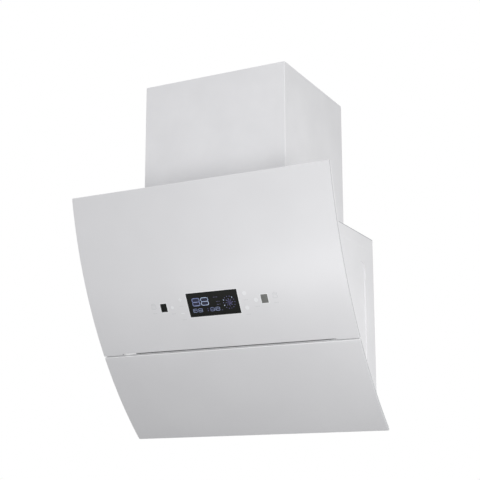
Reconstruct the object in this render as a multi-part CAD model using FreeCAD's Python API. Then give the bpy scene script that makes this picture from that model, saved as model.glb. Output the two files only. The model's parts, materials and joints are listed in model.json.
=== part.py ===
import FreeCAD, Part
import math
import os

# Curved glass range hood. Millimetres. The origin is the centre of the four wall-screw holes, on the wall
# plane. +X is the viewer's right, +Y goes into the wall, +Z is up.

V = FreeCAD.Vector

# ---- Common clearances and sheet
sheet = 1.2                  # steel sheet of the housing, trays and chimney
seat_gap = 0.3               # bond line or seat between two pieces
running_gap = 0.05           # pin in its bore
slide_gap = 0.6              # round a piece that slides or lifts out
past = 1.0                   # how far a cut runs past the piece that it cuts

# ---- Curved front: both glasses follow one arc, seen from the side
glass_width = 600.0
glass_radius = 927.3
glass_top_tilt = 12.19       # degrees from vertical at the top edge
glass_top_y = -391.7
glass_top_z = 254.0
upper_glass_length = 357.0   # along the outer face
flap_length = 224.6
seam_gap = 2.5
glass_thickness = 5.0
glass_bevel = 1.0
notch_half_width = 251.0     # grip notch in the upper glass, along the seam
notch_depth = 2.5
tray_inset = 1.0             # steel tray rim, in from the edge of the glass
tray_depth = 7.0

# ---- Controls, placed along the outer face from the top edge
display_travel = 256.7
display_width = 116.6
display_height = 50.0
sensor_spacing = 235.4
sensor_width = 12.8
sensor_height = 16.3
window_gap = 0.25
touch_board_width = 316.0
touch_board_height = 62.0
board_thickness = 1.6
display_overlap = 1.2        # display module, in from the edge of its window
receiver_width = 9.0
cover_margin = 7.0           # control cover, beyond the touch board
cover_wall = 1.5
cover_to_front = 3.0         # air between the control cover and the front panel
rail_inset = 32.0            # web of a panel rail, in from the housing's side
rail_flange = 20.0
rail_drop = 12.0             # top of a rail, below the housing's top edge

# ---- Housing
housing_width = 474.0
housing_top = 186.0
housing_bottom = -186.0
pad_height = 1.8             # embossed pad on each side panel
pad_back = 12.0
pad_top = 31.0
pad_bottom = 24.0
pad_front = 46.0
pad_corner = 22.0
pad_edge = 1.2
groove_near = 54.0           # groove in the pad, from the wall
groove_width = 36.0
groove_top = 63.0
groove_bottom = 62.0
wall_hole_spacing_x = 360.0
wall_hole_spacing_z = 250.0
wall_hole_radius = 4.0

# ---- Flap hinge and drive
hinge_drop = 15.0            # hinge axis below the flap's top edge
hinge_inset = 4.5            # hinge axis behind the flap tray's sheet
hinge_to_front = 16.3        # hinge axis to the outer face of the front panel
hinge_relief = 19.0          # clear circle round the hinge, swept by the flap's top edge
pin_radius = 2.5
pin_head_radius = 4.0
pin_head_length = 1.8
lug_x = 220.5
lug_thickness = 3.0
lug_gap = 0.5
lug_length = 25.0
foot_width = 9.0
foot_thickness = 1.5
arm_half_height = 4.5
gear_teeth = 12
gear_module = 2.0
gear_addendum = 1.5
gear_dedendum = 2.2
tooth_share = 0.42           # tooth thickness over pitch, at the pitch circle
tooth_slope = 0.36           # half the flank's taper, per unit of tooth height
gear_x = -201.0
gear_width = 7.0
pinion_extra = 1.0           # pinion wider than the sector, each side
pinion_shaft_radius = 3.0
pinion_shaft_length = 14.0
motor_length = 31.0
motor_depth = 36.0
motor_half_height = 14.0
motor_gap = 2.0
window_margin = 2.0

# ---- Grease filter, a flat cassette in the front panel's opening
filter_width = 398.0
filter_to_motor = 14.4       # flap motor to the top of the cassette
filter_thickness = 9.0
filter_proud = 1.5           # cassette face outside the front panel, at its middle
filter_sill = 14.0           # front panel left below the opening
frame_side = 12.0
frame_bar = 16.0
mesh_thickness = 3.0
mesh_columns = 30
mesh_rows = 5
mesh_bar = 3.2
top_tab_width = 30.0
top_tab_reach = 5.0
tab_thickness = 2.0
latch_x = 120.0
latch_travel = 6.0
latch_overlap = 5.4
latch_width = 24.0
latch_height = 10.0
latch_thickness = 3.7
stem_width = 6.0
stem_height = 4.0
tongue_width = 10.0
tongue_length = 14.0

# ---- Chimney cover
chimney_width = 338.0
chimney_depth = 308.0
chimney_top = 512.0
chimney_return = 14.0        # front sheet's returned edge on each side
chimney_seam = 0.5
chimney_flange = 15.0
chimney_screw_inset = 77.0   # screws, in from the cover's front and from the wall
inner_gap = 0.8              # telescoping cover inside the fixed one
inner_sheet = 1.0
inner_height = 318.0
chimney_screw_head = 2.5
small_screw_radius = 1.5
small_head_radius = 3.2

# ---- Duct collar and its flaps
collar_y = -89.0
collar_radius = 75.0
collar_wall = 2.5
collar_height = 55.0
collar_flange_radius = 84.0
collar_flange = 2.0
ledge_width = 5.0
ledge_thickness = 2.2
ledge_height = 20.1          # top of the ledge above the housing
ledge_break = 8.0            # the ledge stops short of the flap pins by this much
damper_thickness = 1.2
damper_gap = 0.7
damper_pin_radius = 1.5
damper_pin_x = 3.5
damper_split = 1.0

# ---- Blower
volute_front_y = -162.0
volute_back_y = -16.0
volute_wall = 1.5
volute_flange = 8.0
outlet_half_width = 72.0
scroll_start = 111.0         # wheel axis to the scroll, at the tongue
scroll_step = 14.0           # growth for each quarter turn
tongue_radius = 8.0
wheel_z = 20.0
wheel_radius = 100.0
blade_root_radius = 84.0
blade_count = 36
blade_thickness = 1.0
blade_lean = 16.0            # degrees that a blade leans forward over its depth
blade_bow = 0.32             # share of that lean reached halfway out
blade_end_gap = 0.5          # a blade's outer end, inside the wheel's rim
wheel_front_gap = 10.0
wheel_back_gap = 28.0
wheel_plate = 2.0
ring_depth = 4.0
cup_radius = 58.0
cup_depth = 42.0
boss_radius = 12.0
boss_length = 22.0
boss_behind = 4.0
motor_radius = 50.0
motor_body_length = 59.0
shaft_radius = 4.0
shaft_in_motor = 26.0
nut_across = 13.0
nut_height = 6.5
shaft_end = 2.0
inlet_radius = 82.0
inlet_depth = 7.0
inlet_flange = 20.0
mount_radius = 8.0
mount_circle = 95.0
screw_head_radius = 4.0
screw_head = 2.5
screw_shank = 6.0

# ---- Electrics
box_left = 95.0
box_right = 225.0
box_low = -60.0
box_high = 90.0
box_depth = 60.0
box_wall = 2.0
box_post_radius = 3.0
box_post_height = 6.0
box_post_inset = 12.0
board_margin = 4.0
capacitor_x = 150.0
capacitor_radius = 20.0
capacitor_length = 58.0
capacitor_above = 10.0
terminal_radius = 2.5
terminal_height = 8.0
gland_x = 115.0
gland_y = -40.0
gland_bore = 4.0
gland_radius = 7.0
gland_head_radius = 11.0
gland_head = 6.0
gland_above = 16.0
gland_below = 14.0
lead_radius = 2.5
display_lead_bend = 12.0
motor_lead_bend = 5.0
lead_x = 110.0
lead_travel = 262.0
lead_into_plenum = 34.0
lead_box_x = 150.0
lead_box_z = 45.0
lead_hole_radius = 7.0
motor_lead_offset = 34.0

# ---- Lamps, oil cup and drain under the housing
lamp_x = 150.0
lamp_y = -70.0
lamp_radius = 28.0
lamp_bezel_radius = 34.0
lamp_bezel = 2.4
lamp_height = 21.0
lamp_wall = 3.0
lens_thickness = 2.0
lens_recess = 1.0
cup_half_width = 110.0
cup_front = -88.0
cup_back = -18.0
cup_height = 45.7
cup_wall = 2.0
holder_wall = 2.0
holder_height = 20.0
drain_y = -52.0
drain_radius = 8.0
drain_bore = 6.0
drain_flange_radius = 12.0
drain_length = 14.0

# ---- Worked out from the sizes above
top_angle = math.radians(glass_top_tilt)
curve_y = glass_top_y + glass_radius * math.cos(top_angle)
curve_z = glass_top_z + glass_radius * math.sin(top_angle)
glass_half = glass_width / 2
glass_inner = glass_radius - glass_thickness
tray_outer = glass_inner - seat_gap
tray_inner = tray_outer - sheet
rim_inner = tray_outer - tray_depth
flap_start = upper_glass_length + seam_gap
flap_end = flap_start + flap_length
hinge_travel = flap_start + hinge_drop
hinge_radius = tray_inner - hinge_inset
front_outer = hinge_radius - hinge_to_front
front_inner = front_outer - sheet
side_edge = rim_inner - seat_gap
housing_half = housing_width / 2
inner_half = housing_half - sheet
top_inside = housing_top - sheet
bottom_inside = housing_bottom + sheet
wheel_x = outlet_half_width - scroll_start - 3 * scroll_step
cover_back = front_outer + cover_to_front
chimney_half = chimney_width / 2
lap_half = chimney_half - 2 * sheet
inner_cover_half = lap_half - inner_gap


def angleAt(travel):
    # Angle of the front's normal below horizontal, at this travel down the outer face.
    return top_angle + travel / glass_radius


def frontPoint(x, radius, travel):
    angle = angleAt(travel)
    return V(x, curve_y - radius * math.cos(angle), curve_z - radius * math.sin(angle))


def frontY(radius, z):
    return curve_y - math.sqrt(radius ** 2 - (curve_z - z) ** 2)


def travelAt(radius, z):
    return (math.asin((curve_z - z) / radius) - top_angle) * glass_radius


def cassetteHeight():
    # What the flap motor and the sill leave of the front panel, measured along its outer face.
    room = (travelAt(front_outer, housing_bottom) - hinge_travel) * front_outer / glass_radius
    return room - motor_half_height - filter_to_motor - filter_sill - slide_gap


def tabDepth():
    # Tabs and latch tongues pass behind the front panel, where its curve has fallen back from the cassette.
    reach = filter_height / 2 + slide_gap + latch_overlap
    fall = front_outer - math.sqrt(front_outer ** 2 - reach ** 2)
    return filter_proud + fall + sheet + seat_gap


filter_height = cassetteHeight()
tab_behind = tabDepth()


def arcEdge(first, middle, last):
    return Part.Arc(first, middle, last).toShape()


def frontSlab(x0, x1, inner, outer, start, end):
    # A curved slab between two radii of the front and two travels down it.
    middle = (start + end) / 2
    edges = [
        Part.makeLine(frontPoint(x0, inner, start), frontPoint(x0, outer, start)),
        arcEdge(*[frontPoint(x0, outer, s) for s in (start, middle, end)]),
        Part.makeLine(frontPoint(x0, outer, end), frontPoint(x0, inner, end)),
        arcEdge(*[frontPoint(x0, inner, s) for s in (end, middle, start)]),
    ]
    return Part.Face(Part.Wire(edges)).extrude(V(x1 - x0, 0, 0))


def block(x0, x1, y0, y1, z0, z1):
    return Part.makeBox(x1 - x0, y1 - y0, z1 - z0, V(x0, y0, z0))


def rod(radius, start, end):
    return Part.makeCylinder(radius, (end - start).Length, start, end - start)


def ring(radius, bore, start, end):
    return rod(radius, start, end).cut(rod(bore, start, end))


def bothSides(near, far, side):
    return sorted((side * near, side * far))


def joined(shapes):
    first = shapes[0]
    return first.multiFuse(shapes[1:]).removeSplitter()


def frontFrame(radius, travel):
    # Local +Y points into the housing and local +Z up along the front.
    base = frontPoint(0, radius, travel)
    return FreeCAD.Placement(base, FreeCAD.Rotation(V(1, 0, 0), math.degrees(angleAt(travel))))


def placed(shape, frame):
    moved = shape.copy()
    moved.Placement = frame.multiply(moved.Placement)
    return moved


def hingePoint(x):
    return frontPoint(x, hinge_radius, hinge_travel)


def bevelled(glass, size):
    edges = [e for e in glass.Edges if all(onRadius(v.Point, glass_radius) for v in e.Vertexes)]
    return glass.makeChamfer(size, edges)


def onRadius(point, radius):
    return abs(math.hypot(point.y - curve_y, point.z - curve_z) - radius) < seat_gap


# ---- Glass front, its trays and the controls

def controlWindow(centre_x, width, height, gap, inner, outer):
    half = height / 2 - gap
    x0 = centre_x - width / 2 + gap
    x1 = centre_x + width / 2 - gap
    return frontSlab(x0, x1, inner, outer, display_travel - half, display_travel + half)


def controlWindows(gap, inner, outer):
    shapes = [controlWindow(0, display_width, display_height, gap, inner, outer)]
    for side in (-1, 1):
        centre = side * sensor_spacing / 2
        shapes.append(controlWindow(centre, sensor_width, sensor_height, gap, inner, outer))
    return shapes


def upperGlass():
    slab = frontSlab(-glass_half, glass_half, glass_inner, glass_radius, 0, upper_glass_length)
    glass = bevelled(slab, glass_bevel)
    notch_top = upper_glass_length - notch_depth
    through = glass_radius + glass_thickness
    notch = frontSlab(-notch_half_width, notch_half_width, rim_inner, through, notch_top, flap_start)
    return glass.cut([notch] + controlWindows(0, rim_inner, through))


def flapGlass():
    slab = frontSlab(-glass_half, glass_half, glass_inner, glass_radius, flap_start, flap_end)
    return bevelled(slab, glass_bevel)


def tray(start, end):
    # Sheet bonded behind a glass, with a rim bent inwards on all four edges.
    half = glass_half - tray_inset
    first = start + tray_inset
    last = end - tray_inset
    whole = frontSlab(-half, half, rim_inner, tray_outer, first, last)
    within = half - sheet
    inside = frontSlab(-within, within, rim_inner - sheet, tray_inner, first + sheet, last - sheet)
    return whole.cut(inside)


def touchOpening(margin, inner, outer):
    half_width = touch_board_width / 2 + margin
    half_height = touch_board_height / 2 + margin
    return frontSlab(
        -half_width, half_width, inner, outer, display_travel - half_height, display_travel + half_height
    )


def upperTray():
    notch_top = upper_glass_length - notch_depth - tray_inset
    notch = frontSlab(
        -notch_half_width, notch_half_width, rim_inner - sheet, glass_inner, notch_top, flap_start
    )
    return tray(0, upper_glass_length).cut([notch, touchOpening(board_thickness, rim_inner, glass_inner)])


def flapTray():
    rim_end = flap_start + tray_inset + sheet
    notch = frontSlab(
        -notch_half_width, notch_half_width, rim_inner - sheet, tray_inner, flap_start, rim_end
    )
    return tray(flap_start, flap_end).cut(notch)


def touchBoard():
    board = touchOpening(0, tray_outer - board_thickness, tray_outer)
    return board.cut(controlWindows(-window_gap, rim_inner, glass_inner))


def displayWindow():
    return controlWindows(window_gap, glass_inner + seat_gap, glass_radius)[0]


def sensorWindows():
    return Part.makeCompound(controlWindows(window_gap, glass_inner + seat_gap, glass_radius)[1:])


def displayModule():
    back = cover_back + cover_wall + seat_gap
    return controlWindow(0, display_width, display_height, display_overlap, back, glass_inner)


def irSensors():
    back = cover_back + cover_wall + seat_gap
    shapes = []
    for side in (-1, 1):
        centre = side * sensor_spacing / 2
        shapes.append(controlWindow(centre, receiver_width, receiver_width, 0, back, glass_inner))
    return Part.makeCompound(shapes)


def controlCover():
    margin = cover_margin
    outside = touchOpening(margin, cover_back, tray_inner)
    inside = touchOpening(margin - cover_wall, cover_back + cover_wall, tray_inner + sheet)
    start = frontPoint(lead_x, cover_back - cover_wall, lead_travel)
    end = frontPoint(lead_x, cover_back + 2 * cover_wall, lead_travel)
    return outside.cut([inside, rod(lead_radius + seat_gap, start, end)])


def panelRail(side):
    # Z-section rail between the front panel and the upper tray.
    web_x = housing_half - rail_inset
    start = travelAt(front_outer, housing_top) + rail_drop
    end = upper_glass_length - hinge_relief
    x0, x1 = bothSides(web_x, web_x + foot_thickness, side)
    a0, a1 = bothSides(web_x, web_x + rail_flange, side)
    b0, b1 = bothSides(web_x - rail_flange, web_x + foot_thickness, side)
    web = frontSlab(x0, x1, front_outer, tray_inner, start, end)
    inner_flange = frontSlab(a0, a1, front_outer, front_outer + foot_thickness, start, end)
    outer_flange = frontSlab(b0, b1, tray_inner - foot_thickness, tray_inner, start, end)
    return joined([web, inner_flange, outer_flange])


# ---- Housing

def sideFace(x, radius, back, top, bottom):
    # A side outline: straight at the back, top and bottom, and curved along the front.
    middle = (top + bottom) / 2
    upper = V(x, frontY(radius, top), top)
    lower = V(x, frontY(radius, bottom), bottom)
    edges = [
        Part.makeLine(V(x, back, bottom), V(x, back, top)),
        Part.makeLine(V(x, back, top), upper),
        arcEdge(upper, V(x, frontY(radius, middle), middle), lower),
        Part.makeLine(lower, V(x, back, bottom)),
    ]
    return Part.Face(Part.Wire(edges))


def alongX(edge):
    first, last = (v.Point for v in edge.Vertexes)
    return abs(abs(first.x - last.x) - (last - first).Length) < running_gap


def embossedPad():
    low = housing_bottom + pad_bottom
    face = sideFace(housing_half, side_edge - pad_front, -pad_back, housing_top - pad_top, low)
    pad = face.extrude(V(pad_height, 0, 0))
    pad = pad.makeFillet(pad_corner, [e for e in pad.Edges if alongX(e)])
    crest = housing_half + pad_height
    rim = [e for e in pad.Edges if all(abs(v.Point.x - crest) < running_gap for v in e.Vertexes)]
    return pad.makeChamfer(pad_edge, rim)


def padGroove():
    radius = groove_width / 2
    centre_y = -groove_near - radius
    high = housing_top - groove_top - radius
    low = housing_bottom + groove_bottom + radius
    x0 = housing_half
    x1 = housing_half + 2 * pad_height
    body = block(x0, x1, centre_y - radius, centre_y + radius, low, high)
    ends = [rod(radius, V(x0, centre_y, z), V(x1, centre_y, z)) for z in (low, high)]
    return joined([body] + ends)


def sidePanel(side):
    panel = sideFace(inner_half, side_edge, 0, housing_top, housing_bottom).extrude(V(sheet, 0, 0))
    relief = rod(hinge_relief, hingePoint(inner_half - sheet), hingePoint(housing_half + sheet))
    tip = frontSlab(
        inner_half - sheet, housing_half + sheet, front_outer, glass_radius,
        upper_glass_length, hinge_travel
    )
    panel = joined([panel.cut([relief, tip]), embossedPad().cut(padGroove())])
    return panel if side > 0 else panel.mirror(V(0, 0, 0), V(1, 0, 0))


def wallHoles():
    holes = []
    for x in (-wall_hole_spacing_x / 2, wall_hole_spacing_x / 2):
        for z in (-wall_hole_spacing_z / 2, wall_hole_spacing_z / 2):
            holes.append(rod(wall_hole_radius, V(x, -2 * sheet, z), V(x, sheet, z)))
    return holes


def backPanel():
    return block(-inner_half, inner_half, -sheet, 0, bottom_inside, top_inside).cut(wallHoles())


def topPanel():
    front = frontY(side_edge, housing_top)
    panel = block(-inner_half, inner_half, front, 0, top_inside, housing_top)
    below = top_inside - sheet
    above = housing_top + sheet
    holes = [
        rod(collar_radius - collar_wall, V(0, collar_y, below), V(0, collar_y, above)),
        rod(gland_radius, V(gland_x, gland_y, below), V(gland_x, gland_y, above)),
    ]
    for point in chimneyScrewPoints():
        holes.append(rod(small_screw_radius, V(point.x, point.y, below), V(point.x, point.y, above)))
    return panel.cut(holes)


def lampPoints():
    return [V(side * lamp_x, lamp_y, housing_bottom) for side in (-1, 1)]


def bottomPanel():
    front = frontY(side_edge, housing_bottom)
    panel = block(-inner_half, inner_half, front, 0, housing_bottom, bottom_inside)
    rise = V(0, 0, 2 * sheet)
    start = V(0, drain_y, housing_bottom - sheet)
    holes = [rod(drain_radius, start, start + rise * 2)]
    for point in lampPoints():
        holes.append(rod(lamp_radius, point - rise, point + rise))
    return panel.cut(holes)


def filterFrame():
    # The cassette's frame of reference: origin at the middle of its outer face.
    sill_travel = travelAt(front_outer, housing_bottom)
    middle = sill_travel - (filter_sill + filter_height / 2 + slide_gap) * glass_radius / front_outer
    return frontFrame(front_outer + filter_proud, middle)


def frontPanel():
    start = travelAt(front_outer, housing_top) - hinge_relief
    end = travelAt(front_outer, housing_bottom) + hinge_relief
    panel = frontSlab(-inner_half, inner_half, front_inner, front_outer, start, end)
    panel = panel.common(block(-inner_half, inner_half, frontY(glass_radius, housing_top), 0,
                               bottom_inside, top_inside))
    half_width = filter_width / 2 + slide_gap
    half_height = filter_height / 2 + slide_gap
    opening = block(-half_width, half_width, -filter_sill, filter_sill, -half_height, half_height)
    lead_hole = rod(
        lead_hole_radius,
        frontPoint(lead_x, front_inner - sheet, lead_travel),
        frontPoint(lead_x, front_outer + sheet, lead_travel),
    )
    return panel.cut([placed(opening, filterFrame()), pinionWindow(), lead_hole])


# ---- Flap hinge and drive

def hingeFrame():
    return frontFrame(hinge_radius, hinge_travel)


def hingeBracket(side):
    near = lug_x + lug_thickness + lug_gap
    x0, x1 = bothSides(near, near + lug_thickness, side)
    arm_low = -arm_half_height - foot_thickness
    arm = block(x0, x1, 0, hinge_to_front, arm_low, arm_half_height - foot_thickness)
    eye = rod(arm_half_height, V(x0, 0, 0), V(x1, 0, 0))
    f0, f1 = bothSides(near, near + foot_width, side)
    foot = frontSlab(
        f0, f1, front_outer, front_outer + foot_thickness,
        hinge_travel - foot_width, hinge_travel + foot_width
    )
    body = joined([placed(joined([arm, eye]), hingeFrame()), foot])
    return body.cut(rod(pin_radius, hingePoint(x0 - past), hingePoint(x1 + past)))


def hingeBrackets():
    return Part.makeCompound([hingeBracket(-1), hingeBracket(1)])


def flapLug(side):
    x0, x1 = bothSides(lug_x, lug_x + lug_thickness, side)
    f0, f1 = bothSides(lug_x - foot_width, lug_x + lug_thickness, side)
    low = hinge_travel + lug_length
    plate = frontSlab(x0, x1, hinge_radius - arm_half_height, tray_inner, hinge_travel, low)
    foot = frontSlab(f0, f1, tray_inner - foot_thickness, tray_inner, hinge_travel + arm_half_height, low)
    eye = rod(arm_half_height, hingePoint(x0), hingePoint(x1))
    body = joined([plate, foot, eye])
    return body.cut(rod(pin_radius + running_gap, hingePoint(x0 - past), hingePoint(x1 + past)))


def hingePins():
    pins = []
    for side in (-1, 1):
        inner = lug_x - lug_gap
        outer = lug_x + 2 * lug_thickness + lug_gap
        shank = rod(pin_radius, hingePoint(side * inner), hingePoint(side * outer))
        head = rod(pin_head_radius, hingePoint(side * outer), hingePoint(side * (outer + pin_head_length)))
        pins.append(joined([shank, head]))
    return Part.makeCompound(pins)


def gearSolid(x0, x1, turn):
    # Straight-flanked spur gear about the local X axis; turn is the angle of its first tooth.
    pitch_radius = gear_teeth * gear_module / 2
    tip = pitch_radius + gear_addendum
    root = pitch_radius - gear_dedendum
    pitch = math.pi * gear_module
    tip_half = (tooth_share * pitch / 2 - gear_addendum * tooth_slope) / tip
    root_half = (tooth_share * pitch / 2 + gear_dedendum * tooth_slope) / root
    points = []
    for tooth in range(gear_teeth):
        middle = turn + 2 * math.pi * tooth / gear_teeth
        for radius, offset in ((root, -root_half), (tip, -tip_half), (tip, tip_half), (root, root_half)):
            angle = middle + offset
            points.append(V(x0, radius * math.cos(angle), radius * math.sin(angle)))
    return Part.Face(Part.makePolygon(points + points[:1])).extrude(V(x1 - x0, 0, 0))


def flapSector():
    # Toothed sector on the flap, cut off by the tray behind which it stands.
    gear = placed(gearSolid(gear_x, gear_x + gear_width, 0), hingeFrame())
    beyond = frontSlab(
        gear_x - past, gear_x + gear_width + past, tray_inner, glass_radius + tray_depth, 0, flap_end
    )
    foot = frontSlab(
        gear_x - foot_width / 2, gear_x + gear_width + foot_width / 2,
        tray_inner - foot_thickness, tray_inner, hinge_travel + arm_half_height, hinge_travel + lug_length
    )
    return joined([gear.cut(beyond), foot])


def pinionOffset():
    return gear_teeth * gear_module


def pinionFrame():
    return frontFrame(hinge_radius - pinionOffset(), hinge_travel)


def motorPinion():
    x0 = gear_x - pinion_extra
    x1 = gear_x + gear_width + pinion_extra
    half_tooth = math.pi / gear_teeth
    gear = gearSolid(x0, x1, math.pi + half_tooth)
    shaft_end_x = x1 + motor_gap + pinion_shaft_length
    shaft = rod(pinion_shaft_radius, V(x1, 0, 0), V(shaft_end_x, 0, 0))
    return placed(joined([gear, shaft]), pinionFrame())


def pinionWindow():
    tip = pinionOffset() / 2 + gear_addendum + window_margin
    x0 = gear_x - pinion_extra - window_margin
    x1 = gear_x + gear_width + pinion_extra + window_margin
    return placed(block(x0, x1, -pinionOffset(), 0, -tip, tip), pinionFrame())


def flapMotor():
    x0 = gear_x + gear_width + pinion_extra + motor_gap
    front = hinge_radius - front_inner + seat_gap
    body = block(x0, x0 + motor_length, front, front + motor_depth, -motor_half_height, motor_half_height)
    bore_start = V(x0 - past, pinionOffset(), 0)
    bore_end = V(x0 + pinion_shaft_length + seat_gap, pinionOffset(), 0)
    bore = rod(pinion_shaft_radius + running_gap, bore_start, bore_end)
    return placed(body.cut(bore), hingeFrame())


# ---- Grease filter, drawn flat and then set in the front panel

def latchSlot(side):
    x = side * latch_x
    half_height = filter_height / 2
    tongue_top = latchTongueLow() + tongue_length + latch_travel + seat_gap
    stem_low = latchStemLow()
    stem = block(
        x - stem_width / 2 - seat_gap, x + stem_width / 2 + seat_gap, -past, tab_behind + past,
        stem_low - seat_gap, stem_low + stem_height + latch_travel + seat_gap
    )
    channel = block(
        x - tongue_width / 2 - seat_gap, x + tongue_width / 2 + seat_gap,
        tab_behind - seat_gap, tab_behind + tab_thickness + seat_gap, -half_height - past, tongue_top
    )
    return joined([stem, channel])


def latchTongueLow():
    return -filter_height / 2 - slide_gap - latch_overlap


def latchStemLow():
    return latchTongueLow() + latch_overlap + latch_height / 2


def filterCassette():
    half_width = filter_width / 2
    half_height = filter_height / 2
    outside = block(-half_width, half_width, 0, filter_thickness, -half_height, half_height)
    inside = block(
        -half_width + frame_side, half_width - frame_side, -past, filter_thickness + past,
        -half_height + frame_bar, half_height - frame_bar
    )
    shapes = [outside.cut(inside)]
    for side in (-1, 1):
        x = side * latch_x
        tab = block(
            x - top_tab_width / 2, x + top_tab_width / 2, tab_behind, tab_behind + tab_thickness,
            half_height - past, half_height + top_tab_reach
        )
        shapes.append(tab)
    frame = joined(shapes).cut([latchSlot(-1), latchSlot(1)])
    return placed(frame, filterFrame())


def filterMesh():
    half_width = filter_width / 2 - frame_side
    half_height = filter_height / 2 - frame_bar
    middle = filter_thickness / 2
    front = middle - mesh_thickness / 2
    back = middle + mesh_thickness / 2
    plate = block(-half_width, half_width, front, back, -half_height, half_height)
    pitch_x = (2 * half_width - mesh_bar) / mesh_columns
    pitch_z = (2 * half_height - mesh_bar) / mesh_rows
    holes = []
    for column in range(mesh_columns):
        for row in range(mesh_rows):
            x = -half_width + mesh_bar + column * pitch_x
            z = -half_height + mesh_bar + row * pitch_z
            x1 = x + pitch_x - mesh_bar
            z1 = z + pitch_z - mesh_bar
            holes.append(block(x, x1, front - past, back + past, z, z1))
    return placed(plate.cut(Part.makeCompound(holes)), filterFrame())


def filterLatch(side):
    x = side * latch_x
    low = latchTongueLow()
    tongue = block(
        x - tongue_width / 2, x + tongue_width / 2, tab_behind, tab_behind + tab_thickness,
        low, low + tongue_length
    )
    stem_low = latchStemLow()
    thumb_low = stem_low - (latch_height - stem_height) / 2
    stem = block(
        x - stem_width / 2, x + stem_width / 2, -seat_gap, tab_behind, stem_low, stem_low + stem_height
    )
    thumb = block(
        x - latch_width / 2, x + latch_width / 2, -seat_gap - latch_thickness, -seat_gap,
        thumb_low, thumb_low + latch_height
    )
    return placed(joined([tongue, stem, thumb]), filterFrame())


# ---- Chimney cover

def chimneyScrewPoints():
    points = []
    for side in (-1, 1):
        for y in (-chimney_screw_inset, chimney_screw_inset - chimney_depth):
            points.append(V(side * (lap_half - chimney_flange / 2), y, housing_top))
    return points


def chimneyFront():
    outside = block(-chimney_half, chimney_half, -chimney_depth, -chimney_depth + chimney_return,
                    housing_top, chimney_top)
    inside = block(
        -chimney_half + sheet, chimney_half - sheet, -chimney_depth + sheet, 0,
        housing_top - past, chimney_top + past
    )
    return outside.cut(inside)


def chimneySide(side):
    # Side sheet, with a set-back strip and flange that the front sheet laps.
    outer = chimney_half
    skin = outer - sheet
    front = -chimney_depth + chimney_return + chimney_seam
    lap_front = -chimney_depth + sheet + seat_gap
    flange = skin - chimney_flange
    pieces = []
    for near, far, y0, y1, z1 in (
        (skin, outer, front, 0, chimney_top),
        (lap_half, skin, lap_front, front + chimney_return, chimney_top),
        (flange, skin, lap_front, lap_front + sheet, chimney_top),
        (flange, skin, -sheet, 0, chimney_top),
        (flange, skin, front + chimney_return, 0, housing_top + sheet),
    ):
        x0, x1 = bothSides(near, far, side)
        pieces.append(block(x0, x1, y0, y1, housing_top, z1))
    holes = []
    for point in chimneyScrewPoints():
        holes.append(rod(small_screw_radius, point - V(0, 0, past), point + V(0, 0, 2 * sheet)))
    return joined(pieces).cut(holes)


def chimneyInner():
    # Telescoping cover: three walls and a narrow flange at the back.
    low = housing_top + sheet + chimney_screw_head + seat_gap
    high = low + inner_height
    front = -chimney_depth + 2 * sheet + seat_gap + inner_gap
    back = -sheet - seat_gap
    outside = block(-inner_cover_half, inner_cover_half, front, back, low, high)
    inside = block(
        -inner_cover_half + inner_sheet, inner_cover_half - inner_sheet,
        front + inner_sheet, back - inner_sheet, low - past, high + past
    )
    slot_half = inner_cover_half - chimney_flange
    slot = block(-slot_half, slot_half, back - 2 * inner_sheet, back + past, low - past, high + past)
    return outside.cut([inside, slot])


def chimneyScrews():
    screws = []
    for point in chimneyScrewPoints():
        base = point + V(0, 0, sheet)
        head = rod(small_head_radius, base, base + V(0, 0, chimney_screw_head))
        shank = rod(small_screw_radius, base - V(0, 0, screw_shank), base)
        screws.append(joined([head, shank]))
    return Part.makeCompound(screws)


# ---- Duct collar

def collarPoint(z):
    return V(0, collar_y, z)


def ductCollar():
    bore = collar_radius - collar_wall
    top = housing_top + collar_height
    ledge_top = housing_top + ledge_height
    base = collarPoint(housing_top)
    flange = ring(collar_flange_radius, bore, base, collarPoint(housing_top + collar_flange))
    tube = ring(collar_radius, bore, base, collarPoint(top))
    ledge = ring(
        collar_radius - collar_wall / 2, bore - ledge_width, collarPoint(ledge_top - ledge_thickness),
        collarPoint(ledge_top)
    )
    ledge = ledge.cut(
        block(-ledge_break, ledge_break, collar_y - collar_radius, collar_y + collar_radius,
              ledge_top - 2 * ledge_thickness, ledge_top + past)
    )
    holes = []
    for side in (-1, 1):
        centre = damperAxis(side)
        reach = V(0, collar_radius + past, 0)
        holes.append(rod(damper_pin_radius + running_gap, centre - reach, centre + reach))
    return joined([flange, tube, ledge]).cut(holes)


def damperAxis(side):
    z = housing_top + ledge_height + seat_gap + damper_thickness / 2
    return V(side * damper_pin_x, collar_y, z)


def damperFlap(side):
    axis = damperAxis(side)
    radius = collar_radius - collar_wall - damper_gap
    low = axis.z - damper_thickness / 2
    disc = rod(radius, collarPoint(low), collarPoint(low + damper_thickness))
    x0, x1 = bothSides(damper_split, radius + past, side)
    high = low + damper_thickness
    half = disc.common(block(x0, x1, collar_y - radius, collar_y + radius, low - past, high + past))
    reach = V(0, collar_radius - running_gap, 0)
    pin = rod(damper_pin_radius, axis - reach, axis + reach)
    return joined([half, pin])


# ---- Blower

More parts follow.
